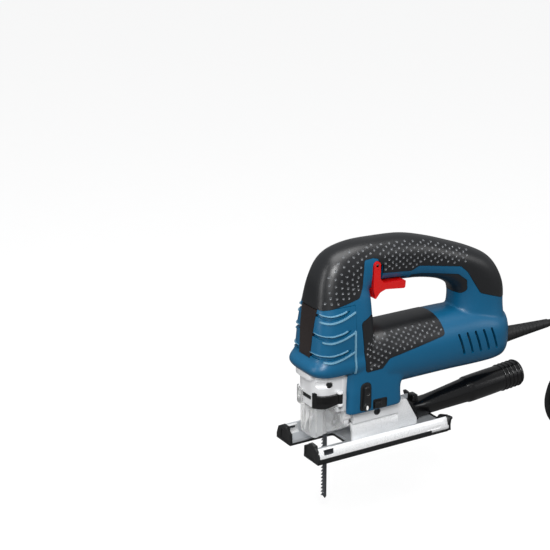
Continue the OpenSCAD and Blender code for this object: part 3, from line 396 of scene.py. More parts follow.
# %% Copies
def copied(piece, name, push=0.0):
    """A copy of a smooth closed piece, grown by push millimetres or shrunk where it is negative."""
    twin = piece.copy()
    twin.data = piece.data.copy()
    twin.name = name
    bpy.context.scene.collection.objects.link(twin)
    if push:
        count = len(twin.data.vertices)
        places = np.empty(count * 3)
        normals = np.empty(count * 3)
        twin.data.vertices.foreach_get("co", places)
        twin.data.vertex_normals.foreach_get("vector", normals)
        twin.data.vertices.foreach_set("co", places + normals * push * MM)
        twin.data.update()
    return twin

# %% Soft edges and finish
def soften(piece, width, segments=3, angle=32):
    """Rounds the sharp edges of a hard piece."""
    step = piece.modifiers.new("edges", "BEVEL")
    step.width = width * MM
    step.segments = segments
    step.limit_method = "ANGLE"
    step.angle_limit = math.radians(angle)
    step.harden_normals = False
    return bake(piece)


def dress(piece, material, angle=32):
    """Gives a piece one material and smooth shading up to an angle."""
    piece.data.materials.clear()
    piece.data.materials.append(material)
    piece.data.polygons.foreach_set("material_index", [0] * len(piece.data.polygons))
    piece.data.shade_smooth()
    piece.data.set_sharp_from_angle(angle=math.radians(angle))
    return piece


def finish_piece(piece, material, body, slot, *nodes, angle=32):
    """The last step for each piece: its finish, its body and the nodes that it stands for."""
    dress(piece, material, angle)
    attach(piece, body)
    if nodes:
        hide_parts(*nodes)
    size = [round(v / MM, 1) for v in piece.dimensions]
    print(f"{piece.name}: {len(piece.data.polygons)} faces, {size} mm")
    return piece


# %% [markdown]
# ## The body's form
# The housing is one flowing form, made of a head and a handle that bend into each other, a
# motor barrel and a leg. Each is a loft over sections, rounded rectangles given by place,
# tilt, width, depth and squareness. The three lofts are merged by a voxel remesh and smoothed,
# which gives the soft fillets that a moulder would blend between them.

# %% Sections: x, z, tilt, width, depth, squareness
head_sections = [
    (-38, 82, 90, 59.5, 68, 4), (-39.4, 87, 90, 62, 72.5, 4), (-39, 92, 90, 61.5, 71, 4),
    (-37, 98.5, 90, 59, 66, 4), (-36.3, 110, 90, 59, 65.4, 3.8), (-35.8, 128, 90, 57.5, 63.8, 3.6),
    (-34.6, 150, 88, 52, 60.4, 3.2), (-32.8, 165, 75, 47, 57.8, 2.8),
    (-26, 174, 52, 44, 60, 2.6), (-15, 178, 28, 41, 54, 2.5), (5, 181.5, 6, 40, 43.5, 2.4),
    (36, 179.2, -6, 39, 44, 2.4), (62, 174.5, -15, 38, 40.5, 2.4), (88, 166.6, -23, 38, 38.5, 2.4),
    (109, 156.5, -35, 38, 43, 2.4), (122, 145, -55, 39, 53, 2.4), (129, 128, -73, 41, 60, 2.5),
    (129.5, 112, -88, 44, 60, 2.6), (130.5, 96, -90, 51, 58, 2.8)]
barrel_sections = [
    (-26, 85, 0, 48, 52, 2.6), (2, 85, 0, 61, 63, 2.4), (20, 85, 0, 64, 64, 2.3),
    (84, 85, 0, 64, 64, 2.3), (118, 84, 0, 63, 62, 2.5), (138, 82, 0, 61, 57, 2.6),
    (149, 80.5, 0, 55, 53, 2.6), (156, 79.5, 0, 46, 50, 2.6), (162, 79, 0, 34, 46, 2.6),
    (166, 78.5, 0, 20, 41, 2.6)]
leg_sections = [
    (-6.8, 38.3, 90, 59, 62.4, 9), (-6.8, 41, 90, 60.4, 63.8, 9), (-6.8, 58, 90, 60.6, 63.8, 8),
    (-4.8, 66, 90, 60.4, 70, 6), (-3.2, 85, 90, 60, 75, 4)]

# %% Loft
def resample(rows, steps):
    """Rows of numbers with a smooth curve through each column."""
    rows = np.array(rows, float)
    held = np.vstack([2 * rows[0] - rows[1], rows, 2 * rows[-1] - rows[-2]])
    made = []
    for i in range(len(rows) - 1):
        a, b, c, d = held[i:i + 4]
        for t in np.arange(steps) / steps:
            made.append(0.5 * (2 * b + (c - a) * t + (2 * a - 5 * b + 4 * c - d) * t * t
                               + (3 * b - a - 3 * c + d) * t ** 3))
    return np.array(made + [rows[-1]])


def squircle(half_w, half_h, square, around):
    """A ring between an ellipse, where square is 2, and a box, which it nears from about 9."""
    angle = 2 * math.pi * (np.arange(around) + 0.5) / around
    return [half * np.sign(wave) * np.abs(wave) ** (2 / square)
            for half, wave in ((half_w, np.cos(angle)), (half_h, np.sin(angle)))]


def section(row, around, inset=0.0):
    """The ring of points of one section, inset mm inside it."""
    x, z, tilt, width, depth, square = row
    u, v = squircle(width / 2 - inset, depth / 2 - inset, square, around)
    lean = math.radians(tilt)
    return np.stack([x - v * math.sin(lean), u, z + v * math.cos(lean)], axis=1)


def loft(name, rows, steps, around, inset=0.0):
    return skin_rings(name, [section(row, around, inset) for row in resample(rows, steps)])

# %% Form
form = loft("form", head_sections, 6, 80)
for rows in (barrel_sections, leg_sections):
    join(form, loft("part_form", rows, 6, 80))
merge = form.modifiers.new("merge", "REMESH")
merge.mode = "VOXEL"
merge.voxel_size = 1.05 * MM
relax = form.modifiers.new("relax", "SMOOTH")
relax.factor = 0.5
relax.iterations = 9
bake(form)
print("form:", len(form.data.polygons), "faces")

# %% [markdown]
# ## Where rubber, strip and ribs lie
# The rubber is moulded into shallow seats in the nylon, so its edge shows as a fine dark line.
# A seat is an outline seen from the side, cut only as deep as the rubber is thick: the outline
# is given a width, and the form shrunk by that thickness is taken from it. The same trick
# makes the gills on the head, which are crescents cut a little way into the surface, and the
# lips along their edges.

# %% Outlines
handle_line = rounded([
    (-110, 146), (-62, 147), (-25, 154.5), (-20, 164), (-16.5, 189), (-7, 189.5), (-1, 188),
    (0, 173), (39, 168.5), (47, 172.5), (97, 163), (106, 155.5), (122, 131), (150, 121),
    (200, 118), (200, 230), (-110, 230)], [0, 6, 5, 4, 2, 2, 2, 2, 4, 6, 6, 10, 5, 6, 0, 0, 0])
barrel_line = rounded([
    (-19.5, 79.6), (-24.6, 131), (-10, 136), (-4, 129), (20, 132), (70.5, 132), (72.5, 112),
    (73.5, 99.6), (7, 89.6), (-0.5, 80)], [3, 4, 3, 3, 1, 1, 4, 4, 6, 4])
inset_line = rounded([
    (40, 140), (78, 137), (88, 131.5), (104, 132), (108.5, 136), (106.5, 147), (95.5, 155.2),
    (52, 163.3), (40, 164)], [0, 2, 4, 3, 4, 5, 5, 3, 0])
strip_low, strip_high = (9.6, 98.5), (13.2, 147)     # half width and height at each end
seam_x = -31                                         # where the hood meets the shells

# %% Gills and their lips
gill_lines, lip_lines = [], []
for x0, z0, low in ((-68, 143.6, 139.2), (-71.5, 124.6, 120.2), (-75, 106.4, 101)):
    gill_lines.append([
        (x0, z0 + 0.7), (x0 + 5.5, low + 3.3), (-57, low + 2.4), (-46, low + 3.9),
        (-36.5, low + 6.6), (-38, low + 3.6), (-46, low + 0.4), (-57, low - 1.5),
        (x0 + 5.5, low - 0.6), (x0, z0 - 1.6)])
    low_rim = [(-65, low - 2.7), (-57, low - 3.6), (-46, low - 1.6), (-38, low + 1),
               (-31.4, low + 3.6)]
    high_rim = [(x0 + 3.5, low + 4.2), (x0 + 8, low + 3.2), (-55, low + 3.1), (-46, low + 4.6),
                (-41, low + 6)]
    for rim, thick in ((low_rim, 1.5), (high_rim, 1.1)):
        fine = resample(rim, 5)
        lip_lines.append(np.vstack([fine + (0, thick / 2), fine[::-1] - (0, thick / 2)]))
print("gills on each side:", len(gill_lines), "lips:", len(lip_lines))

# %% Seats
def spread(outline, by):
    """The outline moved outwards by some millimetres, which is inwards where it is negative."""
    points = np.array(outline, float)
    after, before = np.roll(points, -1, 0), np.roll(points, 1, 0)
    ahead, behind = after - points, points - before
    lean = (ahead / np.linalg.norm(ahead, axis=1)[:, None]
            + behind / np.linalg.norm(behind, axis=1)[:, None])
    lean /= np.maximum(np.linalg.norm(lean, axis=1)[:, None], 1e-6)
    area = np.sum(points[:, 0] * after[:, 1] - after[:, 0] * points[:, 1])
    return points + np.sign(area) * by * np.stack([lean[:, 1], -lean[:, 0]], axis=1)


def across(name, outline, half=60):
    return side_plate(name, outline, -half, half)


def strip_block(by):
    """The nose strip's room, a little wider at its top."""
    (y0, z0), (y1, z1) = strip_low, strip_high
    outline = [(-y0 - by, z0 - by), (y0 + by, z0 - by), (y1 + by, z1 + by), (-y1 - by, z1 + by)]
    return rail_plate("strip_zone", outline, -110, -50)

# %% Rubber, strip and inset
under = copied(form, "under", -1.5)
seam = 0.35                                          # left open along each edge of the rubber


def layer(name, tool, proud):
    """What lies in a seat: the form grown a little, inside the tool and above the seat's floor."""
    piece = copied(form, name, proud)
    combine(piece, [tool], "INTERSECT")
    return combine(piece, [under], keep=True)


handle_rubber = layer("handle_rubber", across("zone", spread(handle_line, -seam)), 0.3)
combine(handle_rubber, [strip_block(seam)])
motor_rubber = layer("motor_rubber", across("zone", spread(barrel_line, -seam)), 0.3)
nose_band = layer("nose_band", strip_block(-seam), 0.6)
inset_pad = layer("inset_pad", across("zone", spread(inset_line, -seam)), 0.0)
print("rubber faces:", len(handle_rubber.data.polygons), len(motor_rubber.data.polygons))

# %% [markdown]
# ## Dimples
# The rubber is pitted with small dimples on a staggered grid of about six millimetres, so that
# a damp hand doesn't slip. There are hundreds, so Geometry Nodes stamp one small ball onto
# each place, and the balls are cut from the rubber in one go. The dimples leave a smooth band
# along the spine of the handle, as the mould's parting line runs there. The rings on the dust
# tube's sleeve come from the same tree with another shape in it.

# %% Stamp tree
def stamp_tree(name, shape, sizes, rotation=(0, 0, 0)):
    """Geometry Nodes that put a shape on each vertex, with an input for each of its sizes."""
    tree = bpy.data.node_groups.new(name, "GeometryNodeTree")
    sockets = [("Places", "Geometry"), *((size, "Float") for size in sizes), ("Finish", "Material")]
    for label, kind in sockets:
        tree.interface.new_socket(label, in_out="INPUT", socket_type="NodeSocket" + kind)
    tree.interface.new_socket("Stamped", in_out="OUTPUT", socket_type="NodeSocketGeometry")
    given = add(tree, "NodeGroupInput").outputs
    stamped = add(tree, "GeometryNodeInstanceOnPoints", {
        "Points": given["Places"], "Instance": shape(tree, given), "Rotation": rotation})
    real = add(tree, "GeometryNodeRealizeInstances", {"Geometry": stamped.outputs[0]})
    painted = add(tree, "GeometryNodeSetMaterial", {
        "Geometry": real.outputs[0], "Material": given["Finish"]})
    add(tree, "NodeGroupOutput", {"Stamped": painted.outputs[0]})
    return tree


def run_tree(name, tree, places, **inputs):
    """A plain mesh from a tree that starts from points in mm."""
    mesh = bpy.data.meshes.new(name)
    mesh.from_pydata((np.array(places) * MM).tolist(), [], [])
    piece = collect(mesh, name)
    step = piece.modifiers.new("nodes", "NODES")
    step.node_group = tree
    for item in tree.interface.items_tree:
        key = item.name.replace(" ", "_")
        if item.in_out == "INPUT" and key in inputs:
            step[item.identifier] = inputs[key]
    return bake(piece)

# %% Places of the dimples
dimple_pitch = 6.3                   # along a row; the rows stand closer
row_pitch = dimple_pitch * 0.66
dimple_r = 1.24
dimple_lift = 0.75                   # of the ball's centre over the rubber
dimple_rim = 3.2                     # smooth border of each pad
ring_points = 720
finder = BVHTree.FromObject(form, bpy.context.evaluated_depsgraph_get())


def inside(outline, x, z):
    hit = False
    for (x0, z0), (x1, z1) in zip(outline, np.roll(outline, 1, 0)):
        if (z0 > z) != (z1 > z) and x < (x1 - x0) * (z - z0) / (z1 - z0) + x0:
            hit = not hit
    return hit


def run_along(points):
    """The distance from the first point to each."""
    return np.concatenate([[0], np.cumsum(np.linalg.norm(np.diff(points, axis=0), axis=1))])


def dimple_places(rows, first, last, low, high, edge):
    """Staggered places over a loft: low and high are heights round a section, from -1 to 1."""
    smooth = resample(rows, 24)
    run = run_along(smooth[:, :2])
    allowed = spread(edge, -dimple_rim)
    made = []
    for k, s in enumerate(np.arange(run[0], run[-1], row_pitch)):
        row = [np.interp(s, run, column) for column in smooth.T]
        ring = section(row, ring_points)
        arc = run_along(ring)
        lean = math.radians(row[2])
        for a in np.arange(k % 2 * dimple_pitch / 2, arc[-1], dimple_pitch):
            x, y, z = ring[min(ring_points - 1, int(np.searchsorted(arc, a)))]
            share = ((z - row[1]) * math.cos(lean) - (x - row[0]) * math.sin(lean)) / (row[4] / 2)
            if first < row[0] < last and low < share < high and inside(allowed, x, z):
                near = finder.find_nearest(Vector((x, y, z)) * MM)
                made.append(np.array(near[0] + near[1] * dimple_lift * MM) / MM)
    return made

# %% Dimples
def ball(tree, given):
    return add(tree, "GeometryNodeMeshIcoSphere", {
        "Radius": given["Radius"], "Subdivisions": 2}).outputs["Mesh"]


stamp = stamp_tree("dimple_stamp", ball, ["Radius"])
barrel_rows = [(-22, 85, 0, 61, 60, 2.4)] + barrel_sections[1:5]
dots_of = {handle_rubber: dimple_places(head_sections[3:], -62, 100, -0.8, 0.88, handle_line),
           motor_rubber: dimple_places(barrel_rows, -20, 72, -0.75, 0.86, barrel_line)}
for pad, dots in dots_of.items():
    combine(pad, [run_tree("balls", stamp, dots, Radius=dimple_r * MM, Finish=rubber)])
    print(pad.name, "dimples:", len(dots))

# %% [markdown]
# ## The nylon shells
# The blue shells are the form with seats for the rubber, air slots at the back and windows for
# the controls. They are hollow like the moulding, so the slots show dark. Two halves meet in
# the middle plane, and a hair of a gap there is what the eye reads as a split housing. The
# floors of the seats stay hidden under the rubber, so they have fewer faces.

# %% Seats in the shells
seat_floor = copied(form, "seat_floor", -1.35)
fewer = seat_floor.modifiers.new("fewer", "DECIMATE")
fewer.ratio = 0.4
bake(seat_floor)
shells = copied(form, "housing_shells")
seats = [across("zone", line) for line in (handle_line, barrel_line, inset_line)] + [strip_block(0)]
for seat in seats:
    combine(seat, [seat_floor], keep=True)
combine(shells, seats)

# %% Hollow
wall = 3.2
combine(shells, [
    loft("hollow", [(-36.5, 40, 90, 50, 60, 4), (-36.5, 90, 90, 52, 62, 4)] + head_sections[2:-1],
         5, 48, wall),
    loft("hollow", [(-20, 85, 0, 54, 54, 2.5)] + barrel_sections[1:-1] + [(164, 78, 0, 54, 44, 3)],
         4, 48, wall),
    loft("hollow", [(-8, 34, 90, 60, 66.5, 8), (-8, 60, 90, 60, 66.5, 8), (-5, 84, 90, 58, 73, 5)],
         4, 48, wall)])
combine(shells, [
    floor_plate("room", [(-100, -24.2), (-30.5, -24.2), (-30.5, 24.2), (-100, 24.2)], 30, 81.5),
    block("room", (-48, -19.5), (-22.1, 22.1), (30, 86))])
print("shells:", len(shells.data.polygons), "faces")

# %% [markdown]
# Air slots stand in a row of five on each side of the back, leaning like the handle's end. The
# trigger, the lock-on button and the speed dial each need a window, and each screw a round
# recess with a flat floor.

# %% Air slots
slot_lean = math.radians(19)
along = np.array([-math.sin(slot_lean), math.cos(slot_lean)])
beside = np.array([along[1], -along[0]])
cuts = []
for side in (-1, 1):
    for i in range(5):
        middle = np.array([93 + 10.3 * i, 86 - 0.4 * i])
        ends = [middle + along * s * 12.5 + beside * t * 1.25
                for s, t in ((-1, -1), (-1, 1), (1, 1), (1, -1))]
        cuts.append(side_plate("slot", rounded(ends, 1.2), side * 22, side * 40))

# %% Windows and recesses
pivot_x, pivot_z = -3, 182           # the trigger's pin
button_x, button_z = 22, 176
dial_at = Vector((154.5, 0, 106))
for outline, radius, half in (
        ([(-4, 144.5), (5.2, 144.5), (5.2, 182), (-5, 182)], 1, 40),
        ([(-4.5, 144.5), (10.5, 144.5), (10.5, 162), (-3, 162)], 1, 40),
        ([(-3, 140), (36, 140), (36, 163.4), (0, 166)], 2, 17.6)):
    cuts.append(across("window", rounded(outline, radius), half))
for side in (-1, 1):
    boss_at = (pivot_x, side * 16.9, pivot_z)
    cuts.append(turned("window", [(0, 4.2), (12, 4.2)], boss_at, (0, side, 0)))
    cheek_room = [(-7.6, 150), (-2, 150), (-2, 182), (-7.6, 182)]
    cuts.append(side_plate("window", cheek_room, side * 16.9, side * 30))
cuts.append(turned("window", [(0, 5.25), (20, 5.25)], (button_x, 8, button_z), RIGHT))
cuts.append(turned("window", [(-3, 10.1), (3, 10.1)], dial_at, RIGHT))
for x, z in ((-13, 146), (72, 158.5), (117, 124), (151, 92), (101, 61.5), (8, 57)):
    cuts.append(turned("recess", [(9.6, 3.4), (40, 3.4)], (x, 0, z), RIGHT))
for piece in (shells, handle_rubber, motor_rubber, inset_pad):
    combine(piece, cuts, keep=True)
discard(*cuts)
print("shells:", len(shells.data.polygons), "faces")

# %% [markdown]
# ## The hood over the head
# The cover over the gear is its own moulding. It stands half a millimetre proud, carries three
# gills like crescents, and ends at a raised bead in front of the motor barrel. Each gill has a
# lip along both edges, which catches the light.

# %% Hood
hood = copied(form, "head_hood", 0.45)
hood_zone = [(-110, 82), (seam_x, 82), (seam_x, 149), (-110, 149)]
combine(hood, [across("zone", hood_zone)], "INTERSECT")
bead_line = rounded([(-33.2, 80), (-31.5, 80), (-31.5, 125), (-33.2, 125)], 0.5)
bead = combine(copied(form, "ridge", 1.7), [across("bead", bead_line)], "INTERSECT")
lip_form = copied(form, "lip_form", 1.6)
rims = [bead] + [combine(across("lip", line), [lip_form], "INTERSECT", keep=True)
                 for line in lip_lines]
painted_highlight_trees = [BVHTree.FromPolygons([v.co for v in rim.data.vertices],
                                  [face.vertices for face in rim.data.polygons]) for rim in rims]
join(hood, *rims)
gill_floor = copied(form, "gill_floor", -1.7)
combine(hood, [combine(across("gill", rounded(line, 0.4)), [gill_floor], keep=True)
               for line in gill_lines])
combine(hood, [across("zone", handle_line), strip_block(0)])
combine(hood, [copied(form, "core", -2.6), block("room", (-100, -10), (-60, 60), (30, 82.2))])
print("hood:", len(hood.data.polygons), "faces")

# %% [markdown]
# The shells leave room for the hood, all but their floor behind it, and a gap as wide as a hair
# runs round their middle plane.

# %% Room for the hood, and the middle seam
room_line = [(-120, 70), (-43, 70), (-43, 81.6), (seam_x + 0.5, 81.6), (seam_x + 0.5, 149.5),
             (-120, 149.5)]
gap = block("gap", (-120, 180), (-0.09, 0.09), (30, 210))
for tool, floor_depth in ((across("zone", room_line), 2.7), (gap, 0.8)):
    combine(shells, [combine(tool, [copied(form, "floor", -floor_depth)])])

# %% [markdown]
# The orbital lever and the blower slider move in black trays, which are let into the left shell
# with a fine gap round them.

# %% Trays
orbit_pocket = rounded([(-26, 41), (-25.2, 69.5), (-13.6, 69.5), (-13, 41)], [3, 5, 5, 3])
blower_pocket = rounded([(-10.8, 40.2), (5.2, 39.6), (5.2, 49.6), (-10.8, 50)], 1.6)
orbit_tray = side_plate("orbit_tray", orbit_pocket, -30.45, -28)
blower_tray = side_plate("blower_tray", blower_pocket, -30.5, -28)
tray_floor = rounded([(-9.9, 41.2), (4.3, 40.6), (4.3, 48.6), (-9.9, 49)], 1.2)
combine(blower_tray, [side_plate("pit", tray_floor, -33, -29.7)])
combine(shells, [side_plate("pit", spread(pocket, 0.3), -33, -28)
                 for pocket in (orbit_pocket, blower_pocket)])
for tray in (orbit_tray, blower_tray):
    finish_piece(soften(tray, 0.3, 2), nylon_black, "housing", "black_plastic")
discard(form, under, seat_floor, gill_floor, lip_form)

# %% [markdown]
# The raised lips on the gills and the bead on the hood are painted a pale blue and made glossier.
# The pale colour is a painted highlight that stands for the glint along their edges. The dimples
# are made smoother and paler than the grained rubber round them, and the paler colour is a
# painted highlight for the glint inside each pit. Both finishes are given by place, to the faces
# that a search tree finds.

# %% Finishes of shells and rubber
def paint_faces(piece, material, chosen):
    """A second finish on each face whose middle is chosen."""
    piece.data.materials.append(material)
    for face in piece.data.polygons:
        if chosen(face.center):
            face.material_index = 1
    painted = sum(face.material_index for face in piece.data.polygons)
    print(f"{piece.name}: {painted} faces of {material.name}")


finish_piece(shells, nylon, "housing", "blue_nylon", "housing_left", "housing_right", angle=34)
finish_piece(hood, nylon, "housing", "blue_nylon", "head_cover", angle=34)
for piece, finish, *nodes in (
        (handle_rubber, rubber, "handle_grip"),
        (motor_rubber, rubber, "motor_grip_left", "motor_grip_right"),
        (nose_band, strip_plastic, "nose_strip"), (inset_pad, rubber, "grip_inset")):
    finish_piece(piece, finish, "housing", "grip_rubber", *nodes, angle=38)

# %% Painted highlights on the lips and in the pits
skin_depth = 0.03                    # how near a face lies to the surface it is part of
# Painted highlight on the lips and the bead.
paint_faces(hood, painted_highlight_nylon, lambda middle: any(
    rim.find_nearest(middle, skin_depth * MM)[0] for rim in painted_highlight_trees))
# Painted highlight in the dimples.
for pad, dots in dots_of.items():
    dot_tree = KDTree(len(dots))
    for i, dot in enumerate(dots):
        dot_tree.insert(Vector(dot) * MM, i)
    dot_tree.balance()
    reach = (dimple_r + skin_depth) * MM
    paint_faces(pad, pit_painted_highlight, lambda middle: dot_tree.find(middle)[2] < reach)

# %% [markdown]
# ## The gear housing's nose
# Under the hood the die-cast housing comes out as a nose, rounded at its front corners. It
# has a step for a collar in front, an oval scoop with a hole at its end on the left, lugs for the
# release lever's hinge and a pair of ears that hold the guard. A black plug sits just inside the
# hole as painted shade, to make it dark. Castings are drafted and rounded, so every edge gets a
# radius of about a millimetre.

# %% Nose casting
nose_plan = rounded([(-20, -21), (-68.5, -21), (-68.5, 21), (-20, 21)], [0, 15, 15, 0], 14)
casting = floor_plate("gear_casting", nose_plan, 48, 84)
collar = floor_plate("collar", spread(nose_plan, 4.2), 76.5, 83.5)
combine(collar, [block("keep", (-80, -46), (-13, 30), (70, 90))], "INTERSECT")
join(casting, soften(collar, 1.2), block("body", (-40, -20), (-21.4, 21.4), (41.5, 84)),
     block("body", (-46, -39), (-20.6, 20.6), (41.5, 49)))
combine(casting, [turned("bore", [(0, 10), (43, 10)], (-47, 0, 30), UP),
                  block("arm_room", (-44, -26.4), (-6.8, 6.8), (30, 66)),
                  block("chamber", (-37, -10), (-18.5, 18.5), (52, 90))])
soften(casting, 1.1)

# %% Scoop with its hole and a black plug of painted shade
hole_dir = (0.25, 1, 0)
combine(casting, [capsule("scoop", (-66.5, -17.5, 71.6), (-56.5, -24, 71.4), 4.4)])
combine(casting, [turned("hole", [(0, 2.9), (9, 2.9)], (-55.4, -26, 71.4), hole_dir)])
# Painted shade: a black plug just inside the hole stands for the shade in it.
well = turned("screw_well", [(0, 2.85), (3, 2.85)], (-55.2, -21.2, 71.4), hole_dir)
finish_piece(soften(well, 0.2, 2), nylon_black, "housing", "silver_casting")

# %% Ears, studs and lugs
ear_line = rounded([(-38, 42.5), (-38, 24), (-30, 24), (-28, 42.5)], [0, 3, 3, 0])
lug_plan = rounded([(-47.5, -20), (-47.5, -26.4), (-42, -26.4), (-42, -20)], [0, 2, 2, 0])
ears = [side_plate("ear", ear_line, side * 14, side * 16.7) for side in (-1, 1)]
studs = [turned("stud", [(0, 2.5), (2.4, 2.5), (2.6, 2.2)], (-34, side * 15.4, 27.5),
                (0, side, 0), 32) for side in (-1, 1)]
lugs = [soften(floor_plate("lug", lug_plan, z0, z1), 0.4, 2)
        for z0, z1 in ((48.9, 51.6), (61.6, 63.6))]
plate = soften(block("plate", (-21, 13), (-23.3, 23.3), (41.5, 45.5)), 0.5, 2)
join(casting, plate, *ears, *studs, *lugs)
finish_piece(casting, cast_silver, "housing", "silver_casting", "gear_housing")

# %% [markdown]
# ## Blade release
# The release lever is a black band that hugs the nose and turns on a black ring round it. It is
# hinged beside it at the rear, has fine upright ribs for the fingertip, and a lug rises at its
# front end. Each of these bands is an outline of the nose, grown and cut out of itself.

# %% Ring and lever
def band(name, plan, outer, inner, z0, z1):
    """A band round a plan, between two distances from it."""
    piece = floor_plate(name, spread(plan, outer), z0, z1)
    return combine(piece, [floor_plate("inner", spread(plan, inner), z0 - 1, z1 + 1)])


ring = band("nose_ring", nose_plan, 0.75, -0.3, 55.6, 59)
combine(ring, [block("near", (-90, 0), (-40, -9), (40, 70)),
               block("rear", (-50, 0), (-40, 40), (40, 70))])
finish_piece(soften(ring, 0.25, 2), nylon_black, "housing", "silver_casting")

lever = band("release_band", nose_plan, 3.5, 0.7, 48.6, 61.2)
lug = band("lug", nose_plan, 3.5, 0.7, 59, 64.2)
for piece, rear_end in ((lever, -42.6), (lug, -67.4)):
    combine(piece, [block("far", (-90, 0), (-14, 40), (40, 70)),
                    block("rear", (rear_end, 0), (-40, 40), (40, 70))])
combine(lever, [across("heel", [(-60, 45), (-40, 45), (-40, 52.6), (-60, 49.2)])])
join(lever, lug)
join(lever, turned("knuckle", [(52, 2.4), (61.2, 2.4)], (-44.5, -23.8, 0), UP, 32))
soften(lever, 0.55)

# %% Ribs of the lever
front_x = [-70, -69.4, -67, -64, -60.5, -57, -53.5]
front_y = [-14, -15.6, -18.7, -21.4, -23.1, -24.2, -24.5]
grooves = []
for i in range(17):
    x = -47.2 - 1.25 * i
    place = (x, np.interp(x, front_x, front_y), 0)
    grooves.append(turned("groove", [(53.4, 0.4), (59.6, 0.4)], place, UP, 12))
combine(lever, grooves)
finish_piece(lever, abs_gloss, "release_lever", "gloss_black", "release_lever")

# %% [markdown]
# ## The clear guard
# The guard is a U-shaped shield that clips over the ears. It is thin and clear, with a thicker
# rim, two upright ribs that stiffen the front, a lens-like disc at each clip and a tab in front
# to push it by. Clear pieces read by their edges, so the rims matter more than the walls. Its
# lower edge slants up on both sides, which leaves the foot its room to tilt.

# %% Guard wall, rim and tabs
guard_plan = rounded([(-20, -19), (-66.5, -19), (-66.5, 19), (-20, 19)], [0, 12, 12, 0], 14)
guard_side = rounded([(-70, 15), (-38.5, 15), (-38, 20), (-37.5, 41.2), (-46.4, 41.2), (-46.4, 50),
                      (-70, 50)], [0, 0, 2, 2, 1, 0, 0])
low_line = [(-30, 24), (-19, 22.5), (-13, 16), (13, 16), (19, 22.5), (30, 24)]
below = [(30, 5), (-30, 5)]
guard = combine(band("clear_guard", guard_plan, 0, -1.8, 16, 46),
                [across("keep", guard_side)], "INTERSECT")
rim = combine(band("rim", guard_plan, 0.5, -0.6, 10, 30), [
    block("keep", (-80, -38.6), (-30, 30), (10, 30)),
    rail_plate("keep", [(y, z + 2) for y, z in low_line] + below, -80, -20)], "INTERSECT")
tab_plan = spread(guard_plan, 2)
tabs = [band("tab", guard_plan, 0.6, -1.2, 43.5, 47.6), band("tab", tab_plan, 2.6, 1.1, 46.4, 61.5),
        band("tab", tab_plan, 2.6, -2.6, 46.2, 47.6)]
for tab in tabs:
    combine(tab, [block("keep", (-80, -54.5), (3, 17.5), (40, 70))], "INTERSECT")
ribs = [capsule("rib", (x, y, 20), (x, y, 43), 0.75)
        for x, y in ((-66.4, 4.5), (-65, 13), (-66.4, -4.5), (-65, -13))]
join(guard, rim, *tabs, *ribs)

# %% Arms and discs of the guard
arm_line = rounded([(-46, 22), (-30, 22.5), (-26.4, 29), (-31, 36), (-46, 38)], [0, 6, 6, 5, 0])
lens = [(0, 5.8), (0.7, 5.9), (1.1, 5.6), (0.8, 4.7), (0.7, 3), (0.7, 0.05)]
for side in (-1, 1):
    join(guard, side_plate("arm", arm_line, side * 17.3, side * 19),
         turned("disc", lens, (-31.5, side * 18.4, 29), (0, side, 0)))
combine(guard, [rail_plate("slant", low_line + below, -80, -20)])
combine(guard, [block("stud_slot", (-36.8, -26), (-30, 30), (24.8, 30.2))])
finish_piece(soften(guard, 0.35, 2), clear_guard, "guard", "clear_plastic", "guard", angle=40)

# %% [markdown]
# ## Saw blade and clamp
# A wood blade has a row of set teeth on its front edge. The teeth are drawn as one toothed
# outline with a thickness, as the blade is stamped from strip, and a turned clamp holds its
# shank.

# %% Blade
pitch = 3.7                          # from tooth to tooth
blade_top, blade_end = 54.5, -58.8
teeth = []
z = 8
while z > blade_end + 5:
    teeth += [(-48.3, z), (-48.1, z - pitch * 0.3), (-50.15, z - pitch * 0.92)]
    z -= pitch
shank = [(-43.9, blade_top), (-48.3, blade_top), (-48.3, 12)]
tip = [(-48.4, z), (-45.6, blade_end), (-43.9, blade_end + 2)]
blade = soften(side_plate("saw_blade_teeth", shank + teeth + tip, -0.6, 0.6), 0.12, 2, 20)
finish_piece(blade, blade_steel, "plunger", "dark_steel", "saw_blade")

# %% Clamp
clamp = turned("blade_clamp_ring", [
    (43.5, 6.4), (44.2, 7.4), (46, 7.5), (46.3, 7.1), (47, 7.1), (47.3, 7.5), (55.8, 7.5),
    (56.5, 6.8), (56.8, 6.3), (59.3, 6.2)], (-47, 0, 0), UP, 64)
combine(clamp, [block("slot", (-55, -42), (-0.95, 0.95), (40, 50))])
finish_piece(clamp, black_steel, "plunger", "dark_steel", "blade_clamp")

# %% [markdown]
# ## Foot
# The foot is an aluminium plate whose two sides are folded up into rails. A rail leans inwards
# and bulges a little, so it shows a bright outer face. The plate between the rails and the rails'
# inner slopes are painted darker, with a darker copy of the aluminium as painted shade. At its
# front it widens into a shelf with a small hole, and a slot there takes the bar of a parallel
# guide.

# %% Plate and rails
def mirrored(outline, side):
    """A YZ outline for one side of the tool; side is -1 on the left and 1 on the right."""
    return [(side * y, z) for y, z in outline]


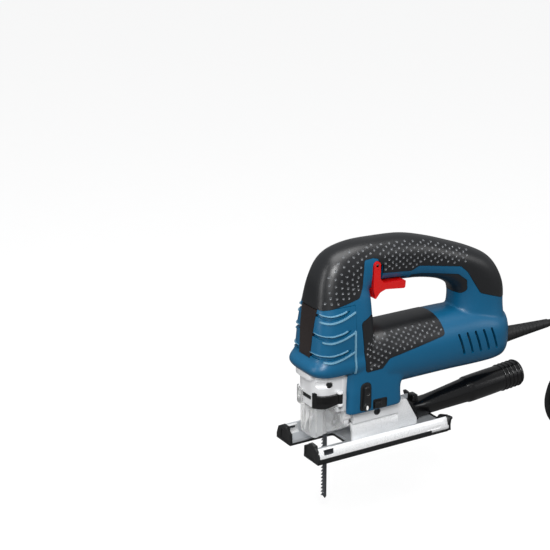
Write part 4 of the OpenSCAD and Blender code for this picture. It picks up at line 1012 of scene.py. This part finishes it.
foot = block("foot_pressing", (-76, 76), (-36.6, 36.6), (2.2, 4.8))
rail_line = rounded([
    (36.8, 2.6), (37.1, 4.6), (36.7, 8), (35.6, 11.2), (33.6, 14.2), (31.6, 13.4), (33, 10.6),
    (34, 7.6), (34.3, 4.8), (32.5, 3.0)], [0, 2, 6, 5, 1, 1, 3, 3, 1, 0])
slope_line = rounded([(34.2, 4.7), (33.4, 9), (32.6, 13), (31.6, 13.4), (26.8, 5.8), (25.4, 4.7)],
                     [0, 2, 1, 0.8, 2, 0])
shelf_line = rounded([(34, 4), (33.6, 13.2), (30.7, 13.5), (26.5, 8.4), (26.5, 4)],
                     [0, 1, 1, 1.5, 0])
shelf_back = -59.5
for side in (-1, 1):
    join(foot, rail_plate("rail", mirrored(rail_line, side), -76, 76))
    join(foot, rail_plate("slope", mirrored(slope_line, side), -75.9, 75.9))
for side in (-1, 1):
    shelf = rail_plate("shelf", mirrored(shelf_line, side), -75.8, shelf_back)
    hole = turned("hole", [(0, 1.1), (12, 1.1)], (-68.6, side * 28.6, 5), UP, 16)
    join(foot, combine(shelf, [hole]))

# %% Slots of the foot
blade_slot = rounded([(-90, -13), (-28, -13), (-28, 13), (-90, 13)], [0, 3, 3, 0])
fence_slot = rounded([(-70, 7.2), (-59, 7.2), (-59, 12.4), (-70, 12.4)], 0.8)
panel_line = rounded([(49, 5.2), (49, 9.8), (66, 9.8), (66, 5.2)], 1.4)
combine(foot, [floor_plate("slot", blade_slot, -5, 20)]
        + [side_plate("fence", fence_slot, side * 20, side * 60) for side in (-1, 1)])
combine(foot, [side_plate("panel", panel_line, -40, -36.55)])
finish_piece(foot, bright_alu, "foot", "pressed_steel", "foot_plate", angle=40)
# Painted shade between the rails: the plate and the inner slopes take the darker aluminium.
paint_faces(foot, painted_shade_alu, lambda middle: abs(middle.y / MM) < (
    26.2 if middle.x / MM < shelf_back + 0.1 else 33))
clip_line = rounded([(-71, 6.4), (-58, 6.4), (-58, 12.8), (-71, 12.8)], 1)
for name, side in (("guide_clip_left", -1), ("guide_clip_right", 1)):
    clip = side_plate(name, clip_line, *sorted((side * 34.1, side * 34.9)))
    finish_piece(soften(clip, 0.2, 2), black_steel, "foot", "dark_steel")

# %% [markdown]
# The arch on the foot and the saddle above it share one round face, so the foot can tilt to
# either side and be clamped at any angle. Behind the arch a slanted collar leads to the tube.

# %% Arch and saddle
def arc(r, first, last):
    """An arc about the tilt axis, in degrees from straight up."""
    angles = np.radians(np.linspace(first, last, 40))
    return [(r * math.sin(a), 11 + r * math.cos(a)) for a in angles]


arch_line = ([(-18, 4.8)] + arc(18, -90, 90) + [(18, 4.8), (15, 4.8)] + arc(15, 90, -90)
             + [(-15, 4.8)])
collar_line = rounded([(27.5, 4.8), (28.4, 35), (38.5, 35), (52.1, 11), (52.1, 4.8)],
                      [0, 0.5, 3, 1.5, 0])
collar = side_plate("collar", collar_line, -16, 16)
combine(collar, [block("tunnel", (0, 60), (-13.2, 13.2), (0, 31))])
arch = join(rail_plate("tilt_arch", arch_line, -26, 28.4), soften(collar, 0.8))
combine(arch, [block("tunnel", (-60, 60), (-13.2, 13.2), (0, 24.2))])
finish_piece(soften(arch, 0.35, 2), bright_alu, "foot", "pressed_steel", "bevel_arch")

saddle_line = rounded([(-18.8, 23.4), (-18.8, 41.5), (18.8, 41.5), (18.8, 23.4)],
                      [0.6, 0.8, 0.8, 0.6]) + arc(18.3, 45.5, -45.5)
saddle = soften(rail_plate("saddle", saddle_line, -26, 27), 0.6)
finish_piece(saddle, cast_silver, "housing", "silver_casting", "bevel_saddle")

screw_at = (1.8, -18.7, 30.6)
screw = turned("clamp_screw", [(0, 3.6), (0.5, 3.6), (0.9, 3.1), (1, 2)], screw_at, LEFT, 40)
combine(screw, [turned("socket", [(0.3, 1.9), (3, 1.9)], screw_at, LEFT, 6)])
finish_piece(screw, black_steel, "housing", "dark_steel", "bevel_screw")

# %% [markdown]
# ## Slide shoe
# A plastic shoe clips under the foot so that it doesn't scratch the work. It shows as a black
# edge along the side, with a box-like cap over each prong and a wall with clips at the back.

# %% Sole and caps of the shoe
shoe_plan = rounded([(-78, -38), (78, -38), (78, 38), (-78, 38)], [2.5, 5, 5, 2.5])
cap_line = rounded([(12.6, 0), (38, 0), (38, 5), (34.6, 13.6), (31, 15.4), (20, 15.6), (13, 11.6)],
                   [0, 2, 2, 2, 2, 2, 1])
face_line = rounded([(15, 2), (30.5, 2), (29.5, 13), (20.5, 13.6), (15, 10.6)], 1.5)
hook_line = rounded([(19.6, 12.4), (30.8, 12.4), (29.8, 16.6), (20.6, 16.8)], 1)
shoe = floor_plate("slide_shoe_skin", shoe_plan, 0, 2.2)
for side in (-1, 1):
    join(shoe, block("lip", (-78, 54.5), sorted((side * 36.9, side * 38)), (0, 5)))
    cap = rail_plate("cap", mirrored(cap_line, side), -78, -75.2)
    combine(cap, [rail_plate("face", mirrored(face_line, side), -80, -77.4)])
    hook = soften(rail_plate("hook", mirrored(hook_line, side), -78, -73.2), 0.6)
    join(shoe, cap, hook)

# %% Rear wall of the shoe
rear_half = [(38, 0), (37, 9), (32.4, 15), (20, 11), (16, 5.6)]
rear_line = rounded([(-38, 0)] + rear_half + mirrored(rear_half[:0:-1], -1),
                    [1, 1, 2, 2, 3, 2, 2, 3, 2, 2])
hold_line = rounded([(31, 10.6), (33.6, 15.2), (40.2, 15.8), (40.4, 14), (38.6, 11.8), (37.6, 6),
                     (34, 6)], [0, 2, 1, 1, 1.5, 1, 0])
join(shoe, rail_plate("rear", rear_line, 76.1, 78))
for side in (-1, 1):
    join(shoe, soften(rail_plate("clip", mirrored(hold_line, side), 74.6, 78), 0.5))
shoe_slot = rounded([(-90, -12.5), (-28.5, -12.5), (-28.5, 12.5), (-90, 12.5)], [0, 3, 3, 0])
combine(shoe, [floor_plate("slot", shoe_slot, -5, 9)])
finish_piece(soften(shoe, 0.5), acetal_black, "foot", "shoe_plastic", "slide_shoe")

# %% [markdown]
# ## Dust tube
# The tube is a glossy black moulding that slides in under the body. Its front is a flat-sided
# duct that turns into a round pipe, it is lifted by a few degrees, and its end carries a grip
# sleeve with rings for the hose. Lofting over rings is the natural way to change a flat-sided
# section into a round one.

# %% Tube
tube_rise = math.radians(4.8)
tube_frame = Matrix.Translation((44, 0, 13)) @ Matrix.Rotation(-tube_rise, 4, "Y")
tube_l = 146.5


def tube_ring(x, half, low, high, square):
    """A squircle across the tube, between two heights."""
    u, v = squircle(half, (high - low) / 2, square, 64)
    return [tube_frame @ Vector((x, a, (high + low) / 2 + b)) for a, b in zip(u, v)]


duct = skin_rings("dust_pipe", [tube_ring(*row) for row in (
    (10, 10.4, -7.2, 8.8, 5), (14, 10.4, -7.4, 8.8, 4.5), (22, 9.8, -9.2, 8.6, 3),
    (32, 9.9, -10.2, 9, 2.3), (44, 10.6, -11, 10, 2), (75, 12.4, -12.4, 12.2, 2),
    (79, 12.7, -12.7, 12.5, 2), (80.4, 13.5, -13.4, 13.5, 2), (84, 13.6, -13.6, 13.6, 2),
    (108, 13.6, -13.6, 13.6, 2), (tube_l - 27, 13.4, -13.4, 13.4, 2),
    (tube_l - 1, 13.3, -13.3, 13.3, 2), (tube_l - 0.3, 12.9, -12.9, 12.9, 2),
    (tube_l, 12.4, -12.4, 12.4, 2))])

# %% Tube's mouth
flange_line = rounded([(45.6, 26.2), (53, 11), (53, 6.6), (57, 6.6), (57, 11), (49.4, 26.2)],
                      [0.8, 2, 0.8, 0.8, 2, 0.8])
spigot_line = [(30, 6.2), (54.5, 6.2), (54.5, 9), (45.4, 26), (30, 26)]
knob_line = rounded([(54.2, 20), (54.6, 30.4), (61, 30.2), (61, 25.4), (64, 20)], [0, 1, 1, 2, 0])
shoulder_line = [(53, 8), (66, 9), (66, 19), (60, 23), (52, 24)]
join(duct, *(soften(across(name, outline, half), edge) for name, outline, half, edge in (
    ("flange", flange_line, 12, 0.7), ("spigot", spigot_line, 11.8, 0.6),
    ("knob", knob_line, 4.5, 0.8), ("shoulder", shoulder_line, 6, 1.6))))

# %% [markdown]
# The rings on the sleeve repeat, so Geometry Nodes put a ring on each point of a short row.

# %% Grip rings
def grip_ring(tree, given):
    path = add(tree, "GeometryNodeCurvePrimitiveCircle", {
        "Radius": given["Ring Radius"], "Resolution": 64})
    wire = add(tree, "GeometryNodeCurvePrimitiveCircle", {
        "Radius": given["Thickness"], "Resolution": 12})
    return add(tree, "GeometryNodeCurveToMesh", {
        "Curve": path.outputs[0], "Profile Curve": wire.outputs[0]}).outputs[0]


ring_tree = stamp_tree("hose_grip_rings", grip_ring, ["Ring Radius", "Thickness"],
                       (0, math.pi / 2 - tube_rise, 0))
ring_places = [tube_frame @ Vector((tube_l - 23 + 5 * i, 0, 0)) for i in range(5)]
join(duct, run_tree("rings", ring_tree, ring_places, Ring_Radius=13.3 * MM, Thickness=0.9 * MM,
                    Finish=abs_gloss))
for bore_r, first, last in ((11, tube_l - 26, tube_l + 4), (6, 20, tube_l - 20)):
    combine(duct, [skin_rings("bore", [tube_ring(x, bore_r, -bore_r, bore_r, 2)
                                       for x in (first, last)])])
combine(duct, [block("inlet", (20, 66), (-9, 9), (8.4, 20))])
finish_piece(duct, abs_gloss, "dust_tube", "gloss_black", "dust_tube")

# %% [markdown]
# ## Trigger and controls
# The trigger is a red lever with a round boss at its pivot and a bar under the handle. Its
# edges are well rounded, as a finger works it all day. The lock-on button is red as well, and
# the speed dial, the orbital lever and the blower slider are black.

# %% Trigger
hook_of_bar = [(-5.2, 151.6), (-5.8, 149), (-3.8, 149), (0.8, 154.4), (7, 156.6), (29.6, 153.8)]
cheek_line = rounded([(-6.8, 182), (-6.8, 158)] + hook_of_bar + [
    (30.2, 162), (5, 163.2), (0.8, 168), (0.8, 182)], [0, 4, 3, 0.8, 1, 5, 4, 1.8, 1.6, 4, 3, 0], 7)
bar_line = rounded([(-6.4, 156)] + hook_of_bar + [(30.2, 162), (8, 163), (-4, 161)],
                   [0, 3, 0.8, 1, 5, 4, 1.8, 1.6, 3, 0], 7)
root_line = [(x, z) for x, z in cheek_line if z < 163.4]
trigger = across("trigger_lever", bar_line, 17.2)
for name, outline, inner, outer in (("cheek", cheek_line, 17.3, 21.2),
                                    ("cheek_root", root_line, 15, 20)):
    join(trigger, *(side_plate(name, outline, *sorted((side * inner, side * outer)))
                    for side in (-1, 1)))
pivot = (pivot_x, 0, pivot_z)
join(trigger, *(turned("boss", [(17.3, 3.8), (21.4, 3.8)], pivot, (0, side, 0), 40)
                for side in (-1, 1)))
combine(trigger, [turned("pin_hole", [(-30, 1.6), (30, 1.6)], pivot, RIGHT, 32)])
finish_piece(soften(trigger, 1.0, 4), abs_red, "trigger", "red_plastic", "trigger", angle=50)

# %% Lock-on button and dial
button = turned("lock_on_button", [(13.4, 4.9), (20.6, 4.9), (21.4, 4.5), (21.8, 3.6), (21.5, 0.1)],
                (button_x, 0, button_z), RIGHT)
finish_piece(button, abs_red, "lock_button", "red_plastic", "lock_button", angle=50)
dial = turned("speed_wheel", [(-2.5, 8.9), (-2.1, 9.4), (2.1, 9.4), (2.5, 8.9)], dial_at, RIGHT, 96)
notch_places = [(dial_at.x + 9.6 * math.cos(a), 0, dial_at.z + 9.6 * math.sin(a))
                for a in np.linspace(0, 2 * math.pi, 24, endpoint=False)]
combine(dial, [turned("notch", [(-3, 0.7), (3, 0.7)], place, RIGHT, 12)
               for place in notch_places])
combine(dial, [turned("bore", [(-4, 1.75), (4, 1.75)], dial_at, RIGHT, 32)])
finish_piece(dial, nylon_black, "speed_dial", "black_plastic", "speed_dial")

# %% [markdown]
# The orbital lever turns on a boss at its lower end, with a raised grip and a dish for the
# thumb above it, and a white mark points at its setting. The blower slider has four ridges.

# %% Orbital lever
lever_line = rounded([(-23.4, 45.4), (-22.4, 66.3), (-16.6, 66.3), (-15.4, 45.4), (-19.4, 41.4)],
                     [1, 2.5, 2.5, 1, 3])
grip_line = rounded([(-22.6, 55.5), (-22.2, 66.3), (-16.8, 66.3), (-16.4, 55.5)], 2)
orbit = side_plate("orbit_lever", lever_line, -33, -30.6)
join(orbit, turned("boss", [(27.6, 4.3), (32.6, 4.3), (33.2, 3.7)], (-19.5, 0, 45.5), LEFT),
     soften(side_plate("grip", grip_line, -33.4, -31), 0.7))
combine(orbit, [turned("dish", [(0, 3), (3, 4.4)], (-19.5, -32.4, 60.5), LEFT)])
finish_piece(soften(orbit, 0.45), nylon_black, "orbital_lever", "black_plastic", "orbital_lever")

# %% Mark and blower slider
mark_z, mark_stretch = 44.6, 1.9
mark = turned("setting_mark", [(0, 1.25), (0.25, 1.25)], (-19.5, -33.2, mark_z), LEFT)
for point in mark.data.vertices:
    point.co.z = (point.co.z / MM - mark_z) * mark_stretch * MM + mark_z * MM
paint_white = surface("pad_printed_white", "F2F2F0", "E6E6E4", 0.45, 0.04, 0.5, 0.004)
finish_piece(mark, paint_white, "orbital_lever", "black_plastic")

blower_line = rounded([(-9.4, 40.6), (-0.6, 40.6), (-0.6, 47.4), (-9.4, 47.4)], 1)
ridge_x = [-7.4 + 1.6 * i for i in range(4)]
blower = side_plate("blower_knob", blower_line, -31.4, -27.4)
join(blower, *(capsule("ridge", (x, -31.3, 42), (x, -31.3, 46), 0.45) for x in ridge_x))
finish_piece(soften(blower, 0.3, 2), nylon_black, "blower_slider", "black_plastic", "blower_slider")

# %% [markdown]
# ## Strain relief, plug and tie
# A strain relief is a rubber cone with cuts, so that it bends in an even curve. The cuts are
# turned rings with a bridge left on two sides, on every other cut above and below.

# %% Cord sleeve
sleeve_start = Vector((161.4, 0, 70.5))
sleeve_dir = Vector((228, 0, 72)) - sleeve_start
sleeve_l = sleeve_dir.length
cut_w, bridge = 0.9, 1.6


def cone_r(d):
    """The cone's radius at a distance from its foot."""
    return 8.6 - 4.2 * max(0, (d - 8) / (sleeve_l - 8)) ** 0.85


foot_of_cone = [(0, 9), (3.2, 9), (3.4, 7), (6.4, 7), (6.8, 8.6), (7.4, 8.9), (9, 8.8)]
cone = [(d, cone_r(d)) for d in np.linspace(10, sleeve_l - 0.6, 30)]
sleeve = turned("strain_relief", foot_of_cone + cone + [(sleeve_l, 4)], sleeve_start, sleeve_dir)
for i in range(10):
    d = 14.5 + 4.7 * i
    floor_r = cone_r(d) - (0.1 + 0.2 * (cone_r(d) - cord_d / 2) * min(1, d / 60))
    profile = [(d, floor_r), (d, 12), (d + cut_w, 12), (d + cut_w, floor_r)]
    cut = turned("cut", profile, sleeve_start, sleeve_dir, hollow=True)
    middle = sleeve_start + sleeve_dir.normalized() * d
    y, z = (((-20, 20), (middle.z - bridge, middle.z + bridge)) if i % 2 == 0
            else ((-bridge, bridge), (50, 95)))
    combine(sleeve, [combine(cut, [block("bridge", (middle.x - 4, middle.x + 4), y, z)])])
combine(sleeve, [turned("bore", [(-2, 3.8), (sleeve_l + 2, 3.8)], sleeve_start, sleeve_dir, 32)])
finish_piece(soften(sleeve, 0.2, 2), cord_rubber, "housing", "cord_sheath", "cord_sleeve")

# %% [markdown]
# The plug is a round two-pin plug moulded onto the cord, with grooves for the fingers, and a
# strap holds the coil.

# %% Plug
plug_dir = Vector((math.cos(plug_heading), math.sin(plug_heading), 0))
plug_side = Vector((-plug_dir.y, plug_dir.x, 0))
plug = turned("plug_body", [
    (0, 4.8), (1, 5), (11, 6.6), (12.2, 7), (12.5, 9.6), (14, 10.6), (19, 12.2), (23, 12.9),
    (43, 12.9), (43.8, 12.6), (44, 12)], plug_start, plug_dir, 64)
groove_l = 1.4
combine(plug, [turned("groove", [(d, 12.3), (d, 14), (d + groove_l, 14), (d + groove_l, 12.3)],
                      plug_start, plug_dir, 64, hollow=True) for d in (24, 27.5, 31, 34.5)])
soften(plug, 0.3, 2)
join(plug, *(turned("pin", [(43, 2.4), (61.6, 2.4), (62.6, 1.9), (63, 1.2)],
                    plug_start + plug_side * 9.5 * side, plug_dir, 32) for side in (-1, 1)))
finish_piece(plug, cord_rubber, "housing", "cord_sheath", "plug")

# %% Tie
def strap_ring(grow, angle):
    """The strap's inner or outer outline round the bundle, at one angle of the coil."""
    half = bundle_h / 2 + grow
    outline = rounded([(-half, -half), (half, -half), (half, half), (-half, half)], 3.9 + grow, 8)
    a = math.radians(angle)
    return [(coil_x + (coil_r + u) * math.cos(a), coil_y + (coil_r + u) * math.sin(a),
             floor_z + bundle_h / 2 + v) for u, v in outline]


tie = skin_rings("coil_strap", [strap_ring(0.82, a) for a in np.linspace(-107, -93, 10)])
combine(tie, [skin_rings("inner", [strap_ring(0.06, a) for a in np.linspace(-110, -90, 14)])])
finish_piece(soften(tie, 0.2, 2), nylon_black, "housing", "black_plastic", "cord_tie")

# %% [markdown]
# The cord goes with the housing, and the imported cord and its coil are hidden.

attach(mains_cord, "housing")
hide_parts("cord", "cord_coil")

# %% [markdown]
# ## The parts inside
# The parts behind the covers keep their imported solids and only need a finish. A few show
# through the slots, the clear guard and the trigger's window, and all of them show when the
# tool is taken apart.

# %% Inner parts
inner_finishes = {
    bearing_bronze: ("bush_upper", "bush_lower"),
    ground_steel: ("bearing_front", "bearing_rear", "gear_axle", "armature_shaft", "crank_pin",
                   "crank_roller", "plunger", "roller_pin", "guide_roller", "arm_pin",
                   "trigger_pin", "lever_pin"),
    black_steel: ("stator", "armature_core", "drive_gear", "counterweight", "yoke", "roller_arm",
                  "housing_screws"),
    brass: ("brush_holders",), carbon: ("carbon_brushes",), copper_wire: ("commutator",),
    circuit_green: ("speed_module",), nylon_black: ("switch_body", "fan")}
for finish, names in inner_finishes.items():
    for name in names:
        dress(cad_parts[name], finish, 30)
print("inner parts:", sum(len(names) for names in inner_finishes.values()))

# %% [markdown]
# ## Floor, backdrop and light
# A catalogue picture has a white sweep, so the floor and the world are white to the camera and
# to rays that pass through the clear guard. To all other rays the paper is a deep grey, as if
# black cards stood beside the tool, which keeps the blue and the rubber from looking milky. A
# big soft light overhead draws the long highlights on the handle and the rails, one from the
# left front lights the sides, and two weak ones draw the edges.

# %% Floor
def white_to_camera(tree):
    """One for rays from the camera, also through a clear piece, and zero for all others."""
    ray = add(tree, "ShaderNodeLightPath")
    return add(tree, "ShaderNodeMath", {
        0: ray.outputs["Is Camera Ray"], 1: ray.outputs["Is Transmission Ray"]},
        operation="MAXIMUM").outputs[0]


paper = bpy.data.materials.new("white_paper_sweep")
paper.use_nodes = True
tree = paper.node_tree
tree.nodes.clear()
place = add(tree, "ShaderNodeTexCoord").outputs["Object"]
fibre = add(tree, "ShaderNodeTexNoise", {"Vector": place, "Scale": 60.0, "Detail": 4})
tint = add(tree, "ShaderNodeMix", {"Factor": fibre.outputs["Fac"]}, data_type="RGBA")
tint.inputs[6].default_value = linear("6A6A6A")
tint.inputs[7].default_value = linear("646464")
matt = add(tree, "ShaderNodeBsdfDiffuse", {"Color": tint.outputs[2]})
level = add(tree, "ShaderNodeMapRange", {
    "Value": white_to_camera(tree), "To Min": 0.03, "To Max": 0.88})
glow = add(tree, "ShaderNodeEmission", {"Color": (1, 1, 1, 1), "Strength": level.outputs[0]})
both = add(tree, "ShaderNodeAddShader")
tree.links.new(matt.outputs[0], both.inputs[0])
tree.links.new(glow.outputs[0], both.inputs[1])
add(tree, "ShaderNodeOutputMaterial", {"Surface": both.outputs[0]})
sweep = 6000
floor = block("paper_floor", (-sweep, sweep), (-sweep, sweep), (-78, -75.7))
floor.data.materials.append(paper)

# %% World
world = bpy.data.worlds.new("studio")
bpy.context.scene.world = world
world.use_nodes = True
tree = world.node_tree
tree.nodes.clear()
soft = add(tree, "ShaderNodeBackground", {"Color": (0.95, 0.97, 1.0, 1), "Strength": 0.34})
white = add(tree, "ShaderNodeBackground", {"Color": (1, 1, 1, 1), "Strength": 1.2})
chosen = add(tree, "ShaderNodeMixShader", {"Fac": white_to_camera(tree)})
tree.links.new(soft.outputs[0], chosen.inputs[1])
tree.links.new(white.outputs[0], chosen.inputs[2])
add(tree, "ShaderNodeOutputWorld", {"Surface": chosen.outputs[0]})

# %% Lights
def softbox(name, place, target, size, power):
    """An area light in metres that looks at a point."""
    light = bpy.data.lights.new(name, "AREA")
    light.shape = "RECTANGLE"
    light.size, light.size_y = size
    light.energy = power
    lamp = bpy.data.objects.new(name, light)
    bpy.context.scene.collection.objects.link(lamp)
    lamp.location = place
    lamp.rotation_euler = (Vector(target) - Vector(place)).to_track_quat("-Z", "Y").to_euler()


tool_middle = (0.05, 0, 0.08)
softbox("key_left_front", (-0.75, -1.1, 1.0), tool_middle, (0.55, 0.45), 21)
softbox("top", (-0.05, -0.2, 1.35), tool_middle, (1.4, 0.9), 18)
softbox("left_strip", (-1.2, 0.1, 0.45), tool_middle, (0.2, 0.9), 4)
softbox("right_fill", (1.2, -0.9, 0.6), tool_middle, (0.5, 0.5), 2.5)
bpy.context.scene.view_settings.view_transform = "Standard"
bpy.context.scene.view_settings.look = "None"
